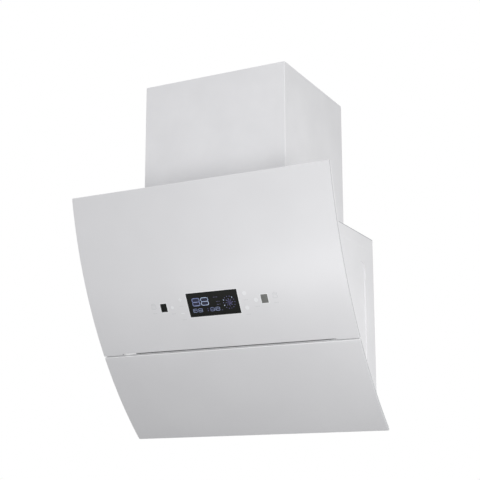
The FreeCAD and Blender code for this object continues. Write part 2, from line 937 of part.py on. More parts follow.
def scrollFace(y, grow):
    # Scroll outline seen from the front, grown outwards by this much; the neck is open at the top.
    step = scroll_step
    radius = scroll_start + step / 2
    top = top_inside
    first = V(wheel_x - step / 2, y, wheel_z - step / 2)
    second = first + V(step, 0, 0)
    third = second + V(0, 0, step)
    diagonal = math.sqrt(0.5)
    r1 = radius + grow
    r2 = radius + step + grow
    r3 = radius + 2 * step + grow
    roof = first.z + radius
    left = -outlet_half_width - grow
    tongue = V(-outlet_half_width - tongue_radius, y, roof + tongue_radius)
    nose = tongue_radius - grow
    neck_start = V(left, y, top)
    if nose > 0:
        corner = [
            Part.makeLine(neck_start, tongue + V(nose, 0, 0)),
            arcEdge(tongue + V(nose, 0, 0), tongue + V(nose * diagonal, 0, -nose * diagonal),
                    tongue + V(0, 0, -nose)),
            Part.makeLine(tongue + V(0, 0, -nose), first + V(0, 0, r1)),
        ]
    else:
        bend = V(left, y, roof + grow)
        corner = [Part.makeLine(neck_start, bend), Part.makeLine(bend, first + V(0, 0, r1))]
    edges = corner + [
        arcEdge(first + V(0, 0, r1), first + V(-r1 * diagonal, 0, r1 * diagonal), first + V(-r1, 0, 0)),
        arcEdge(second + V(-r2, 0, 0), second + V(-r2 * diagonal, 0, -r2 * diagonal), second + V(0, 0, -r2)),
        arcEdge(third + V(0, 0, -r3), third + V(r3 * diagonal, 0, -r3 * diagonal), third + V(r3, 0, 0)),
        Part.makeLine(third + V(r3, 0, 0), V(third.x + r3, y, top)),
        Part.makeLine(V(third.x + r3, y, top), neck_start),
    ]
    return Part.Face(Part.Wire(edges))


def scrollSlab(grow, y0, y1):
    return scrollFace(y0, grow).extrude(V(0, y1 - y0, 0))


def voluteScrewPoints(y):
    reach = scroll_start + scroll_step / 2 + volute_flange / 2 + volute_wall / 2
    low = wheel_z - scroll_step / 2
    points = [V(wheel_x - scroll_step / 2 - reach, y, low)]
    points.append(V(wheel_x + scroll_step / 2, y, low - reach - scroll_step))
    for z in (low + scroll_step, (wheel_z + top_inside) / 2):
        points.append(V(outlet_half_width + volute_flange / 2 + volute_wall / 2, y, z))
    return points


def voluteScrewHoles(y):
    holes = []
    for point in voluteScrewPoints(y):
        holes.append(rod(small_screw_radius, point - V(0, screw_shank, 0), point + V(0, screw_shank, 0)))
    return holes


def voluteShell():
    wall = scrollSlab(volute_wall, volute_front_y, volute_back_y).cut(
        scrollSlab(0, volute_front_y - past, volute_back_y + past)
    )
    flange = scrollSlab(volute_flange, volute_front_y, volute_front_y + volute_wall).cut(
        scrollSlab(0, volute_front_y - past, volute_front_y + 2 * volute_wall)
    )
    return joined([wall, flange]).cut(voluteScrewHoles(volute_front_y))


def wheelPoint(y):
    return V(wheel_x, y, wheel_z)


def voluteFront():
    front = volute_front_y - volute_wall
    plate = scrollSlab(volute_flange, front, volute_front_y)
    hole = rod(inlet_radius + volute_wall, wheelPoint(front - past), wheelPoint(volute_front_y + past))
    return plate.cut([hole] + voluteScrewHoles(front))


def voluteBack():
    back = volute_back_y + volute_wall
    plate = scrollSlab(volute_flange, volute_back_y, back)
    lead_x0 = wheel_x + motor_lead_offset
    start = V(lead_x0, volute_back_y - past, wheel_z)
    hole = rod(lead_radius + seat_gap, start, V(lead_x0, back + past, wheel_z))
    return plate.cut(hole)


def inletRing():
    front = volute_front_y - volute_wall
    mouth = wheelPoint(front - volute_wall)
    throat = ring(
        inlet_radius + volute_wall, inlet_radius, mouth, wheelPoint(front + inlet_depth)
    )
    flange = ring(inlet_radius + inlet_flange, inlet_radius, mouth, wheelPoint(front))
    return joined([throat, flange])


def bladeSolid(angle, y0, y1):
    # One forward-curved blade: an arc strip between the two blade radii.
    lean = math.radians(blade_lean)
    middle_radius = (blade_root_radius + wheel_radius) / 2
    inner = []
    outer = []
    tip_radius = wheel_radius - blade_end_gap
    for radius, turn in ((blade_root_radius, 0), (middle_radius, lean * blade_bow), (tip_radius, lean)):
        a = angle + turn
        b = a + blade_thickness / radius
        inner.append(V(wheel_x + radius * math.cos(a), y0, wheel_z + radius * math.sin(a)))
        outer.append(V(wheel_x + radius * math.cos(b), y0, wheel_z + radius * math.sin(b)))
    edges = [
        arcEdge(*inner),
        Part.makeLine(inner[2], outer[2]),
        arcEdge(*reversed(outer)),
        Part.makeLine(outer[0], inner[0]),
    ]
    return Part.Face(Part.Wire(edges)).extrude(V(0, y1 - y0, 0))


def wheelRing():
    # Front ring of the wheel, riveted to the ends of its blades.
    front = volute_front_y + wheel_front_gap
    return ring(wheel_radius, blade_root_radius, wheelPoint(front), wheelPoint(front + ring_depth))


def impeller():
    # A cupped back plate with separate blades, which run forward to the wheel's front ring.
    front = volute_front_y + wheel_front_gap
    back = volute_back_y - wheel_back_gap
    hub_back = back - cup_depth
    plate = ring(wheel_radius, cup_radius - wheel_plate, wheelPoint(back - wheel_plate), wheelPoint(back))
    cup = ring(cup_radius, cup_radius - wheel_plate, wheelPoint(hub_back - wheel_plate), wheelPoint(back))
    floor = rod(cup_radius, wheelPoint(hub_back - wheel_plate), wheelPoint(hub_back))
    boss = rod(boss_radius, wheelPoint(bossFront()), wheelPoint(bossFront() + boss_length))
    bore = rod(shaft_radius, wheelPoint(hub_back - boss_length), wheelPoint(hub_back + boss_length))
    hub = joined([plate, cup, floor, boss]).cut(bore)
    blades = []
    for count in range(blade_count):
        angle = 2 * math.pi * count / blade_count
        blades.append(bladeSolid(angle, front + ring_depth, back - wheel_plate))
    return Part.makeCompound([hub] + blades)


def motorFront():
    return volute_back_y - motor_body_length


def bossFront():
    return volute_back_y - wheel_back_gap - cup_depth + boss_behind - boss_length


def fanMotor():
    front = motorFront()
    body = rod(motor_radius, wheelPoint(front), wheelPoint(volute_back_y))
    end = front + shaft_in_motor + seat_gap
    return body.cut(rod(shaft_radius + running_gap, wheelPoint(front - past), wheelPoint(end)))


def motorShaft():
    front = bossFront() - nut_height - shaft_end
    return rod(shaft_radius, wheelPoint(front), wheelPoint(motorFront() + shaft_in_motor))


def hubNut():
    back = bossFront()
    corner = nut_across / math.sqrt(3)
    points = []
    for side in range(6):
        angle = math.pi * side / 3
        points.append(wheelPoint(back) + V(corner * math.cos(angle), 0, corner * math.sin(angle)))
    hexagon = Part.Face(Part.makePolygon(points + points[:1]))
    nut = hexagon.extrude(V(0, -nut_height, 0))
    return nut.cut(rod(shaft_radius, wheelPoint(back + past), wheelPoint(back - nut_height - past)))


def blowerMounts():
    posts = []
    for turn in range(4):
        angle = math.pi / 4 + turn * math.pi / 2
        offset = V(mount_circle * math.cos(angle), 0, mount_circle * math.sin(angle))
        front = wheelPoint(volute_back_y + volute_wall) + offset
        posts.append(rod(mount_radius, front, wheelPoint(-sheet) + offset))
    return Part.makeCompound(posts)


def blowerScrews():
    screws = []
    for point in voluteScrewPoints(volute_front_y - volute_wall):
        head = rod(screw_head_radius, point - V(0, screw_head, 0), point)
        shank = rod(small_screw_radius, point, point + V(0, screw_shank, 0))
        screws.append(joined([head, shank]))
    return Part.makeCompound(screws)


# ---- Electrics

def boxBack():
    return -sheet


def boxPostPoints():
    points = []
    for x in (box_left + box_post_inset, box_right - box_post_inset):
        for z in (box_low + box_post_inset, box_high - box_post_inset):
            points.append(V(x, boxBack() - box_wall, z))
    return points


def controlBox():
    back = boxBack()
    front = back - box_depth
    outside = block(box_left, box_right, front, back, box_low, box_high)
    inside = block(
        box_left + box_wall, box_right - box_wall, front - past, back - box_wall, box_low + box_wall,
        box_high - box_wall
    )
    start = V(box_left - past, motorLeadY(), wheel_z)
    entry = rod(lead_radius + seat_gap, start, start + V(2 * box_wall, 0, 0))
    posts = [rod(box_post_radius, point, point - V(0, box_post_height, 0)) for point in boxPostPoints()]
    return joined([outside.cut([inside, entry])] + posts)


def controlBoxLid():
    front = boxBack() - box_depth
    plate = block(box_left, box_right, front - box_wall, front, box_low, box_high)
    start = V(lead_box_x, front - 2 * box_wall, lead_box_z)
    return plate.cut(rod(lead_radius + seat_gap, start, start + V(0, 4 * box_wall, 0)))


def controlBoard():
    front = boxBack() - box_wall - box_post_height - board_thickness
    inset = box_wall + board_margin
    return block(
        box_left + inset, box_right - inset, front, front + board_thickness,
        box_low + inset, box_high - inset
    )


def capacitor():
    y = -sheet - seat_gap - capacitor_radius
    base = V(capacitor_x, y, box_high + capacitor_above)
    body = rod(capacitor_radius, base, base + V(0, 0, capacitor_length))
    pins = []
    for side in (-1, 1):
        start = base + V(side * capacitor_radius / 2, 0, capacitor_length)
        pins.append(rod(terminal_radius, start, start + V(0, 0, terminal_height)))
    return joined([body] + pins)


def cableGland():
    def at(z):
        return V(gland_x, gland_y, z)

    sleeve = rod(gland_radius, at(top_inside - gland_below), at(housing_top + gland_above))
    head = rod(gland_head_radius, at(housing_top), at(housing_top + gland_head))
    nut = rod(gland_head_radius, at(top_inside - gland_head), at(top_inside))
    bore = rod(gland_bore, at(top_inside - gland_below - past), at(housing_top + gland_above + past))
    return joined([sleeve, head, nut]).cut(bore)


def leadTube(points, radius, bend):
    # A clipped lead: straight runs joined by tangent arcs of one radius.
    edges = []
    start = points[0]
    for before, corner, after in zip(points, points[1:], points[2:]):
        back = (before - corner).normalize()
        ahead = (after - corner).normalize()
        half = back.getAngle(ahead) / 2
        length = bend / math.tan(half)
        inwards = (back + ahead).normalize()
        middle = corner + inwards * (bend / math.sin(half) - bend)
        edges.append(Part.makeLine(start, corner + back * length))
        edges.append(arcEdge(corner + back * length, middle, corner + ahead * length))
        start = corner + ahead * length
    edges.append(Part.makeLine(start, points[-1]))
    path = Part.Wire(edges)
    section = Part.Wire(Part.makeCircle(radius, points[0], points[1] - points[0]))
    return path.makePipeShell([section], True, False)


def displayLead():
    start = frontPoint(lead_x, cover_back, lead_travel)
    inside = frontPoint(lead_x, cover_back - lead_into_plenum, lead_travel)
    lid_front = boxBack() - box_depth - box_wall
    before = V(lead_box_x, lid_front - lead_into_plenum, lead_box_z)
    end = V(lead_box_x, lid_front, lead_box_z)
    return leadTube([start, inside, before, end], lead_radius, display_lead_bend)


def motorLeadY():
    return (volute_back_y + volute_wall - sheet) / 2


def motorLead():
    x0 = wheel_x + motor_lead_offset
    y = motorLeadY()
    points = [V(x0, volute_back_y, wheel_z), V(x0, y, wheel_z), V(box_left, y, wheel_z)]
    return leadTube(points, lead_radius, motor_lead_bend)


# ---- Lamps, oil cup and drain

def lampHousings():
    lamps = []
    for point in lampPoints():
        low = point - V(0, 0, lamp_bezel)
        top = point + V(0, 0, lamp_height)
        body = joined([rod(lamp_radius, low, top), rod(lamp_bezel_radius, low, point)])
        lamps.append(body.cut(rod(lamp_radius - lamp_wall, low - V(0, 0, past), top - V(0, 0, lamp_wall))))
    return Part.makeCompound(lamps)


def lampLenses():
    lenses = []
    for point in lampPoints():
        low = point - V(0, 0, lamp_bezel - lens_recess)
        lenses.append(rod(lamp_radius - lamp_wall - running_gap, low, low + V(0, 0, lens_thickness)))
    return Part.makeCompound(lenses)


def cupTop():
    return housing_bottom - seat_gap


def oilCup():
    top = cupTop()
    low = top - cup_height
    outside = block(-cup_half_width, cup_half_width, cup_front, cup_back, low, top)
    floor_edges = [e for e in outside.Edges if abs(e.CenterOfMass.z - low) < seat_gap]
    outside = outside.makeFillet(2 * cup_wall, floor_edges)
    inside = block(
        -cup_half_width + cup_wall, cup_half_width - cup_wall, cup_front + cup_wall, cup_back - cup_wall,
        low + cup_wall, top + past
    )
    return outside.cut(inside)


def cupHolder():
    gap = seat_gap
    low = housing_bottom - holder_height
    wall = holder_wall + gap
    outside = block(
        -cup_half_width - wall, cup_half_width + wall, cup_front - wall, cup_back + wall,
        low, housing_bottom
    )
    inside = block(
        -cup_half_width - gap, cup_half_width + gap, cup_front - gap, cup_back + gap,
        low - past, housing_bottom + past
    )
    return outside.cut(inside)


def drainSpout():
    top = V(0, drain_y, bottom_inside)
    low = V(0, drain_y, housing_bottom - drain_length)
    collar_high = bottom_inside + sheet
    spout = joined([rod(drain_radius, low, top), rod(drain_flange_radius, top, V(0, drain_y, collar_high))])
    return spout.cut(rod(drain_bore, low - V(0, 0, past), V(0, drain_y, collar_high + past)))


nodes = {
    "back_panel": backPanel,
    "left_side_panel": lambda: sidePanel(-1),
    "right_side_panel": lambda: sidePanel(1),
    "top_panel": topPanel,
    "bottom_panel": bottomPanel,
    "front_panel": frontPanel,
    "upper_glass": upperGlass,
    "upper_tray": upperTray,
    "panel_rail_left": lambda: panelRail(-1),
    "panel_rail_right": lambda: panelRail(1),
    "display_window": displayWindow,
    "sensor_windows": sensorWindows,
    "touch_board": touchBoard,
    "display_module": displayModule,
    "ir_sensors": irSensors,
    "control_cover": controlCover,
    "flap_glass": flapGlass,
    "flap_tray": flapTray,
    "hinge_brackets": hingeBrackets,
    "flap_lug_left": lambda: flapLug(-1),
    "flap_lug_right": lambda: flapLug(1),
    "hinge_pins": hingePins,
    "flap_sector": flapSector,
    "motor_pinion": motorPinion,
    "flap_motor": flapMotor,
    "filter_frame": filterCassette,
    "filter_mesh": filterMesh,
    "filter_latch_left": lambda: filterLatch(-1),
    "filter_latch_right": lambda: filterLatch(1),
    "chimney_front": chimneyFront,
    "chimney_side_left": lambda: chimneySide(-1),
    "chimney_side_right": lambda: chimneySide(1),
    "chimney_inner": chimneyInner,
    "chimney_screws": chimneyScrews,
    "duct_collar": ductCollar,
    "damper_left": lambda: damperFlap(-1),
    "damper_right": lambda: damperFlap(1),
    "volute_shell": voluteShell,
    "volute_front": voluteFront,
    "volute_back": voluteBack,
    "inlet_ring": inletRing,
    "wheel_ring": wheelRing,
    "impeller": impeller,
    "fan_motor": fanMotor,
    "motor_shaft": motorShaft,
    "hub_nut": hubNut,
    "blower_mounts": blowerMounts,
    "blower_screws": blowerScrews,
    "control_box": controlBox,
    "control_box_lid": controlBoxLid,
    "control_board": controlBoard,
    "capacitor": capacitor,
    "cable_gland": cableGland,
    "display_lead": displayLead,
    "motor_lead": motorLead,
    "lamp_housings": lampHousings,
    "lamp_lenses": lampLenses,
    "oil_cup": oilCup,
    "cup_holder": cupHolder,
    "drain_spout": drainSpout,
}

os.makedirs("parts", exist_ok=True)
for name, make in nodes.items():
    shape = make()
    for solid in shape.Solids:
        if not solid.isValid() or solid.Volume <= 0:
            raise ValueError(name + " has a bad solid")
    shape.exportStep("parts/" + name + ".step")
    print(name, len(shape.Solids), "solid(s)", round(shape.Volume / 1000, 2), "cm3")
print("hinge axis", hingePoint(0), "filter tilt", round(math.degrees(filterFrame().Rotation.Angle), 3))
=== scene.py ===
import json
import math

import bmesh
import bpy
from mathutils import Matrix, Vector


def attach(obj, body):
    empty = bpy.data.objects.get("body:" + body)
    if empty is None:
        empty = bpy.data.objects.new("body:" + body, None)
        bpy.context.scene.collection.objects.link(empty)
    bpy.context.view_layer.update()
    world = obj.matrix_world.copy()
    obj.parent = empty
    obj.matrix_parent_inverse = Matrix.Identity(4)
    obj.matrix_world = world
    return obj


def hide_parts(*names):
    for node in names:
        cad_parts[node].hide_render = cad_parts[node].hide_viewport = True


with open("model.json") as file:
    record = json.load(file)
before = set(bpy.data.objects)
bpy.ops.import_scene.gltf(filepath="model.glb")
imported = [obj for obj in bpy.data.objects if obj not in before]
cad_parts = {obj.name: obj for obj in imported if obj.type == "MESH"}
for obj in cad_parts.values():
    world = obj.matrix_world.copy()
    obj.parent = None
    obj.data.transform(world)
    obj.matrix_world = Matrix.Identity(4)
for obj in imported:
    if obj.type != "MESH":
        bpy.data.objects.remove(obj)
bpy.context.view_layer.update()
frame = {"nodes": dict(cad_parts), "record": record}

# Curved glass range hood. Metres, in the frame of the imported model: the wall is at y = 0, the front looks
# along -Y, +X is the viewer's right and +Z is up.

sheetSteel = 0.0012         # housing, trays and chimney cover
filmThickness = 0.00005     # printed ink and the lit film of the display
samePoint = 0.000005        # points of a new piece nearer than this are merged
samePackedPoint = 0.000002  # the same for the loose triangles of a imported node
flatDegrees = 0.5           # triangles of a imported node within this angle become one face
onLine = 0.0001             # how near a line a point counts as on it
# How far each cutting block runs past what it cuts.
cutPast = {
    "grip": 0.002, "gripEnd": 0.004, "window": 0.003, "frame": 0.001, "touchBoard": 0.002, "side": 0.01,
}


def nothingSelected():
    if bpy.context.mode != "OBJECT":
        bpy.ops.object.mode_set(mode="OBJECT")
    bpy.ops.object.select_all(action="DESELECT")


def workOn(piece):
    nothingSelected()
    piece.select_set(True)
    bpy.context.view_layer.objects.active = piece


def openMesh(piece):
    workOn(piece)
    bpy.ops.object.mode_set(mode="EDIT")
    bpy.ops.mesh.select_all(action="DESELECT")


def closeMesh():
    bpy.ops.object.mode_set(mode="OBJECT")


def pickParts(piece, kind, test):
    # In edit mode, selects only the faces, or only the edges, that pass the test.
    bpy.ops.mesh.select_mode(type=kind)
    bpy.ops.mesh.select_all(action="DESELECT")
    mesh = bmesh.from_edit_mesh(piece.data)
    for part in mesh.faces if kind == "FACE" else mesh.edges:
        if test(part):
            part.select_set(True)
    bmesh.update_edit_mesh(piece.data)


def runsAlong(edge, axis):
    # True for an edge that runs along this axis of the hood: 0, 1 or 2.
    way = edge.verts[1].co - edge.verts[0].co
    return abs(way[axis]) > 0.999 * way.length


def mergedOutwards(piece):
    openMesh(piece)
    bpy.ops.mesh.select_all(action="SELECT")
    bpy.ops.mesh.remove_doubles(threshold=samePoint)
    bpy.ops.mesh.normals_make_consistent(inside=False)
    closeMesh()
    return piece


def shaped(piece, kind, **settings):
    workOn(piece)
    modifier = piece.modifiers.new(kind.title(), kind)
    for name, value in settings.items():
        setattr(modifier, name, value)
    bpy.ops.object.modifier_apply(modifier=modifier.name)
    return piece


def roundedEdges(piece, width, segments=2, degrees=40):
    # A small radius on every sharp edge, then smooth shading across it.
    shaped(piece, "BEVEL", width=width, segments=segments, limit_method="ANGLE",
           angle_limit=math.radians(degrees))
    return smoothed(piece, degrees)


def smoothed(piece, degrees=40):
    workOn(piece)
    bpy.ops.object.shade_smooth_by_angle(angle=math.radians(degrees))
    # Weighted by area, so that a large flat face stays flat up to its rounded edge.
    return shaped(piece, "WEIGHTED_NORMAL", mode="FACE_AREA", weight=100, keep_sharp=True)


def combined(piece, others, operation="DIFFERENCE"):
    for other in others:
        shaped(piece, "BOOLEAN", object=other, operation=operation, solver="EXACT")
        bpy.data.objects.remove(other)
    return piece


def joined(name, pieces):
    nothingSelected()
    for piece in pieces:
        piece.select_set(True)
    bpy.context.view_layer.objects.active = pieces[0]
    bpy.ops.object.join()
    pieces[0].name = name
    return pieces[0]


def placeApplied(name):
    piece = bpy.context.object
    piece.name = name
    bpy.ops.object.transform_apply(location=True, rotation=True, scale=True)
    return piece


def box(name, low, high):
    nothingSelected()
    low = Vector(low)
    high = Vector(high)
    bpy.ops.mesh.primitive_cube_add(size=1, location=(low + high) / 2)
    bpy.context.object.scale = high - low
    return placeApplied(name)


def rod(name, radius, start, end, sides=64):
    nothingSelected()
    start = Vector(start)
    end = Vector(end)
    turn = (end - start).to_track_quat("Z", "Y").to_euler()
    bpy.ops.mesh.primitive_cylinder_add(
        vertices=sides, radius=radius, depth=(end - start).length, location=(start + end) / 2, rotation=turn
    )
    return placeApplied(name)


def mirrored(piece, name):
    # A copy on the other side of the hood, turned right side out again.
    nothingSelected()
    other = bpy.data.objects.new(name, piece.data.copy())
    bpy.context.scene.collection.objects.link(other)
    other.data.transform(Matrix.Scale(-1, 4, (1, 0, 0)))
    return mergedOutwards(other)


def softCopy(node, name, width):
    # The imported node's own shape, merged into clean faces, with a small radius on its edges.
    nothingSelected()
    piece = bpy.data.objects.new(name, frame["nodes"][node].data.copy())
    bpy.context.scene.collection.objects.link(piece)
    piece.data.materials.clear()
    openMesh(piece)
    bpy.ops.mesh.select_all(action="SELECT")
    bpy.ops.mesh.remove_doubles(threshold=samePackedPoint)
    bpy.ops.mesh.dissolve_limited(angle_limit=math.radians(flatDegrees))
    closeMesh()
    return roundedEdges(piece, width, degrees=35)


def linear(hexColour):
    parts = [int(hexColour[place:place + 2], 16) / 255 for place in (1, 3, 5)]
    return [part / 12.92 if part <= 0.04045 else ((part + 0.055) / 1.055) ** 2.4 for part in parts] + [1]


def newFinish(name, sockets):
    # A Principled material with these constants, and the object's own coordinates in metres.
    material = bpy.data.materials.new(name)
    material.use_nodes = True
    shader = material.node_tree.nodes["Principled BSDF"]
    for socket, value in sockets.items():
        shader.inputs[socket].default_value = value
    place = addNode(material, "ShaderNodeTexCoord")
    return material, place.outputs["Object"]


def addNode(material, kind, settings=None, inputs=None, feeds=None):
    # Adds a node: settings are its own values, inputs are constants or links, feeds go to the shader.
    tree = material.node_tree
    node = tree.nodes.new(kind)
    for name, value in (settings or {}).items():
        if name == "stops":
            for element, (position, colour) in zip(node.color_ramp.elements, value):
                element.position = position
                element.color = linear(colour)
        else:
            setattr(node, name, value)
    for socket, value in (inputs or {}).items():
        if isinstance(value, bpy.types.NodeSocket):
            tree.links.new(value, node.inputs[socket])
        else:
            node.inputs[socket].default_value = value
    for socket, output in (feeds or {}).items():
        tree.links.new(node.outputs[output], tree.nodes["Principled BSDF"].inputs[socket])
    return node


def waveScale(spacing):
    # Bands along one axis turn through 20 radians in a unit, so this gives one band to each spacing.
    return 2 * math.pi / (20 * spacing)


def powderCoat(name, low, high, roughness):
    # Polyester powder coat on steel: the baked powder flows into a faint orange peel with a satin sheen.
    peel = 0.0016       # from crest to crest
    cloud = 0.09        # how far apart the film is a little thicker
    material, place = newFinish(name, {
        "Specular IOR Level": 0.45, "Coat Weight": 0.15, "Coat Roughness": 0.3})
    drift = addNode(material, "ShaderNodeTexNoise", {}, {"Vector": place, "Scale": 1 / cloud, "Detail": 3.0})
    addNode(material, "ShaderNodeValToRGB", {"stops": [(0.35, low), (0.7, high)]},
            {"Fac": drift.outputs["Fac"]}, {"Base Color": "Color"})
    grain = addNode(material, "ShaderNodeTexNoise", {}, {"Vector": place, "Scale": 1 / peel, "Detail": 2.0})
    addNode(material, "ShaderNodeMapRange", {},
            {"Value": grain.outputs["Fac"], "To Min": roughness - 0.05, "To Max": roughness + 0.05},
            {"Roughness": "Result"})
    addNode(material, "ShaderNodeBump", {},
            {"Height": grain.outputs["Fac"], "Distance": 0.00002, "Strength": 0.6}, {"Normal": "Normal"})
    return material


def backPaintedGlass():
    # Toughened float glass painted white on its back: a matt ground seen through a clear, glossy surface.
    # The tempering rollers leave a very long, faint wave that only the reflections show.
    wave = 0.085        # from one roller to the next
    cloud = 0.16        # drift in the sprayed paint
    material, place = newFinish("backPaintedGlass", {
        "Roughness": 0.55, "Specular IOR Level": 0.2, "Coat Weight": 1.0, "Coat Roughness": 0.04,
        "Coat IOR": 1.52})
    drift = addNode(material, "ShaderNodeTexNoise", {}, {"Vector": place, "Scale": 1 / cloud, "Detail": 2.0})
    addNode(material, "ShaderNodeValToRGB", {"stops": [(0.3, "#E4E4E5"), (0.7, "#E8E8E9")]},
            {"Fac": drift.outputs["Fac"]}, {"Base Color": "Color"})
    rollers = addNode(material, "ShaderNodeTexWave", {"bands_direction": "Z"},
                      {"Vector": place, "Scale": waveScale(wave), "Distortion": 1.5, "Detail": 1.0,
                       "Detail Scale": 0.6})
    addNode(material, "ShaderNodeBump", {},
            {"Height": rollers.outputs["Fac"], "Distance": 0.0001, "Strength": 0.25},
            {"Coat Normal": "Normal"})
    return material


def groundGlassEdgeAndPaintedLight(name, low, high, coat):
    # Ground and polished float glass. The arris is paler than the painted face: a painted highlight along the
    # rounded edge. The flat edge is greyer, partly its own tone and partly painted shade for the dark line
    # along the glass's sides.
    scratch = 0.0006    # spacing of the polishing lines
    material, place = newFinish(name, {
        "Roughness": 0.22, "Specular IOR Level": 0.6, "Coat Weight": coat, "Coat Roughness": 0.06})
    fine = addNode(material, "ShaderNodeTexNoise", {}, {"Vector": place, "Scale": 1 / scratch, "Detail": 3.0})
    addNode(material, "ShaderNodeValToRGB", {"stops": [(0.3, low), (0.7, high)]},
            {"Fac": fine.outputs["Fac"]}, {"Base Color": "Color"})
    addNode(material, "ShaderNodeBump", {},
            {"Height": fine.outputs["Fac"], "Distance": 0.00001, "Strength": 0.4}, {"Normal": "Normal"})
    return material


def smokedGlass(name, deep, pale):
    # Filter glass over the display and the sensors, under a film that takes off most of the glare.
    dust = 0.012        # from one patch of haze to the next
    material, place = newFinish(name, {"Roughness": 0.35, "Specular IOR Level": 0.12, "Coat Weight": 0.1,
                                       "Coat Roughness": 0.03, "Coat IOR": 1.52})
    haze = addNode(material, "ShaderNodeTexNoise", {}, {"Vector": place, "Scale": 1 / dust, "Detail": 5.0})
    addNode(material, "ShaderNodeValToRGB", {"stops": [(0.35, deep), (0.75, pale)]},
            {"Fac": haze.outputs["Fac"]}, {"Base Color": "Color"})
    return material


def displayGlow(name, dim, bright, strength):
    # Light-emitting segments behind the filter glass: uneven, cool and a little violet where they are weak.
    patch = 0.009       # from one brighter patch to the next
    material, place = newFinish(name, {"Roughness": 0.4, "Emission Strength": strength})
    uneven = addNode(material, "ShaderNodeTexNoise", {}, {"Vector": place, "Scale": 1 / patch, "Detail": 1.0})
    addNode(material, "ShaderNodeValToRGB", {"stops": [(0.35, dim), (0.65, bright)]},
            {"Fac": uneven.outputs["Fac"]}, {"Emission Color": "Color", "Base Color": "Color"})
    return material


def printedInk(name, low, high):
    # Ceramic screen print fired on the glass: flat colour with the slight mottle of the screen.
    mottle = 0.0012     # from one dot of the screen to the next
    material, place = newFinish(name, {"Roughness": 0.4, "Coat Weight": 0.7, "Coat Roughness": 0.06})
    dots = addNode(material, "ShaderNodeTexVoronoi", {}, {"Vector": place, "Scale": 1 / mottle})
    addNode(material, "ShaderNodeValToRGB", {"stops": [(0.1, low), (0.7, high)]},
            {"Fac": dots.outputs["Distance"]}, {"Base Color": "Color"})
    return material


def zincPlate():
    # Zinc-plated sheet steel: bluish grey with a warmer passivated bloom and fine rolling lines.
    bloom = 0.030       # from one warmer patch to the next
    rolling = 0.0009    # spacing of the lines
    material, place = newFinish("zincPlate", {"Metallic": 1.0})
    cast = addNode(material, "ShaderNodeTexNoise", {}, {"Vector": place, "Scale": 1 / bloom, "Detail": 4.0})
    addNode(material, "ShaderNodeValToRGB", {"stops": [(0.3, "#BCC1C6"), (0.7, "#CDCBC2")]},
            {"Fac": cast.outputs["Fac"]}, {"Base Color": "Color"})
    turned = addNode(material, "ShaderNodeMapping", {}, {"Vector": place, "Scale": (1.0, 0.04, 1.0)})
    lines = addNode(material, "ShaderNodeTexNoise", {},
                    {"Vector": turned.outputs["Vector"], "Scale": 1 / rolling, "Detail": 2.0})
    addNode(material, "ShaderNodeMapRange", {},
            {"Value": lines.outputs["Fac"], "To Min": 0.28, "To Max": 0.46}, {"Roughness": "Result"})
    addNode(material, "ShaderNodeBump", {},
            {"Height": lines.outputs["Fac"], "Distance": 0.00001, "Strength": 0.5}, {"Normal": "Normal"})
    return material


def millAluminium(name, low, high, grain, roughness):
    # Aluminium sheet as it leaves the mill: pale grey, with drawn-out lines across the light.
    material, place = newFinish(name, {"Metallic": 1.0})
    drawn = addNode(material, "ShaderNodeMapping", {}, {"Vector": place, "Scale": (0.05, 1.0, 1.0)})
    lines = addNode(material, "ShaderNodeTexNoise", {},
                    {"Vector": drawn.outputs["Vector"], "Scale": 1 / grain, "Detail": 5.0})
    addNode(material, "ShaderNodeValToRGB", {"stops": [(0.3, low), (0.7, high)]},
            {"Fac": lines.outputs["Fac"]}, {"Base Color": "Color"})
    addNode(material, "ShaderNodeMapRange", {},
            {"Value": lines.outputs["Fac"], "To Min": roughness - 0.08, "To Max": roughness + 0.1},
            {"Roughness": "Result"})
    addNode(material, "ShaderNodeBump", {},
            {"Height": lines.outputs["Fac"], "Distance": 0.00001, "Strength": 0.5}, {"Normal": "Normal"})
    return material


def platedSteel():
    # Bright nickel-plated steel: nearly a mirror, softened by the turning marks below the plate.
    marks = 0.0005      # spacing of the turning marks
    material, place = newFinish("nickelPlate", {"Metallic": 1.0})
    fine = addNode(material, "ShaderNodeTexNoise", {}, {"Vector": place, "Scale": 1 / marks, "Detail": 3.0})
    addNode(material, "ShaderNodeValToRGB", {"stops": [(0.3, "#C9C8C4"), (0.7, "#DAD9D5")]},
            {"Fac": fine.outputs["Fac"]}, {"Base Color": "Color"})
    addNode(material, "ShaderNodeMapRange", {},
            {"Value": fine.outputs["Fac"], "To Min": 0.16, "To Max": 0.3}, {"Roughness": "Result"})
    return material


def mouldedPlastic(name, low, high, roughness, grain):
    # Injection-moulded ABS from a spark-eroded tool: a fine even grain that breaks up the highlight.
    streak = 0.04       # how far apart the flow of the melt shows
    material, place = newFinish(name, {"Specular IOR Level": 0.45})
    pits = addNode(material, "ShaderNodeTexVoronoi", {"feature": "SMOOTH_F1"},
                   {"Vector": place, "Scale": 1 / grain, "Smoothness": 0.6})
    flow = addNode(material, "ShaderNodeTexNoise", {}, {"Vector": place, "Scale": 1 / streak, "Detail": 2.0})
    addNode(material, "ShaderNodeValToRGB", {"stops": [(0.35, low), (0.7, high)]},
            {"Fac": flow.outputs["Fac"]}, {"Base Color": "Color"})
    addNode(material, "ShaderNodeMapRange", {},
            {"Value": pits.outputs["Distance"], "To Min": roughness - 0.04, "To Max": roughness + 0.08},
            {"Roughness": "Result"})
    addNode(material, "ShaderNodeBump", {},
            {"Height": pits.outputs["Distance"], "Distance": 0.00002, "Strength": 0.5}, {"Normal": "Normal"})
    return material


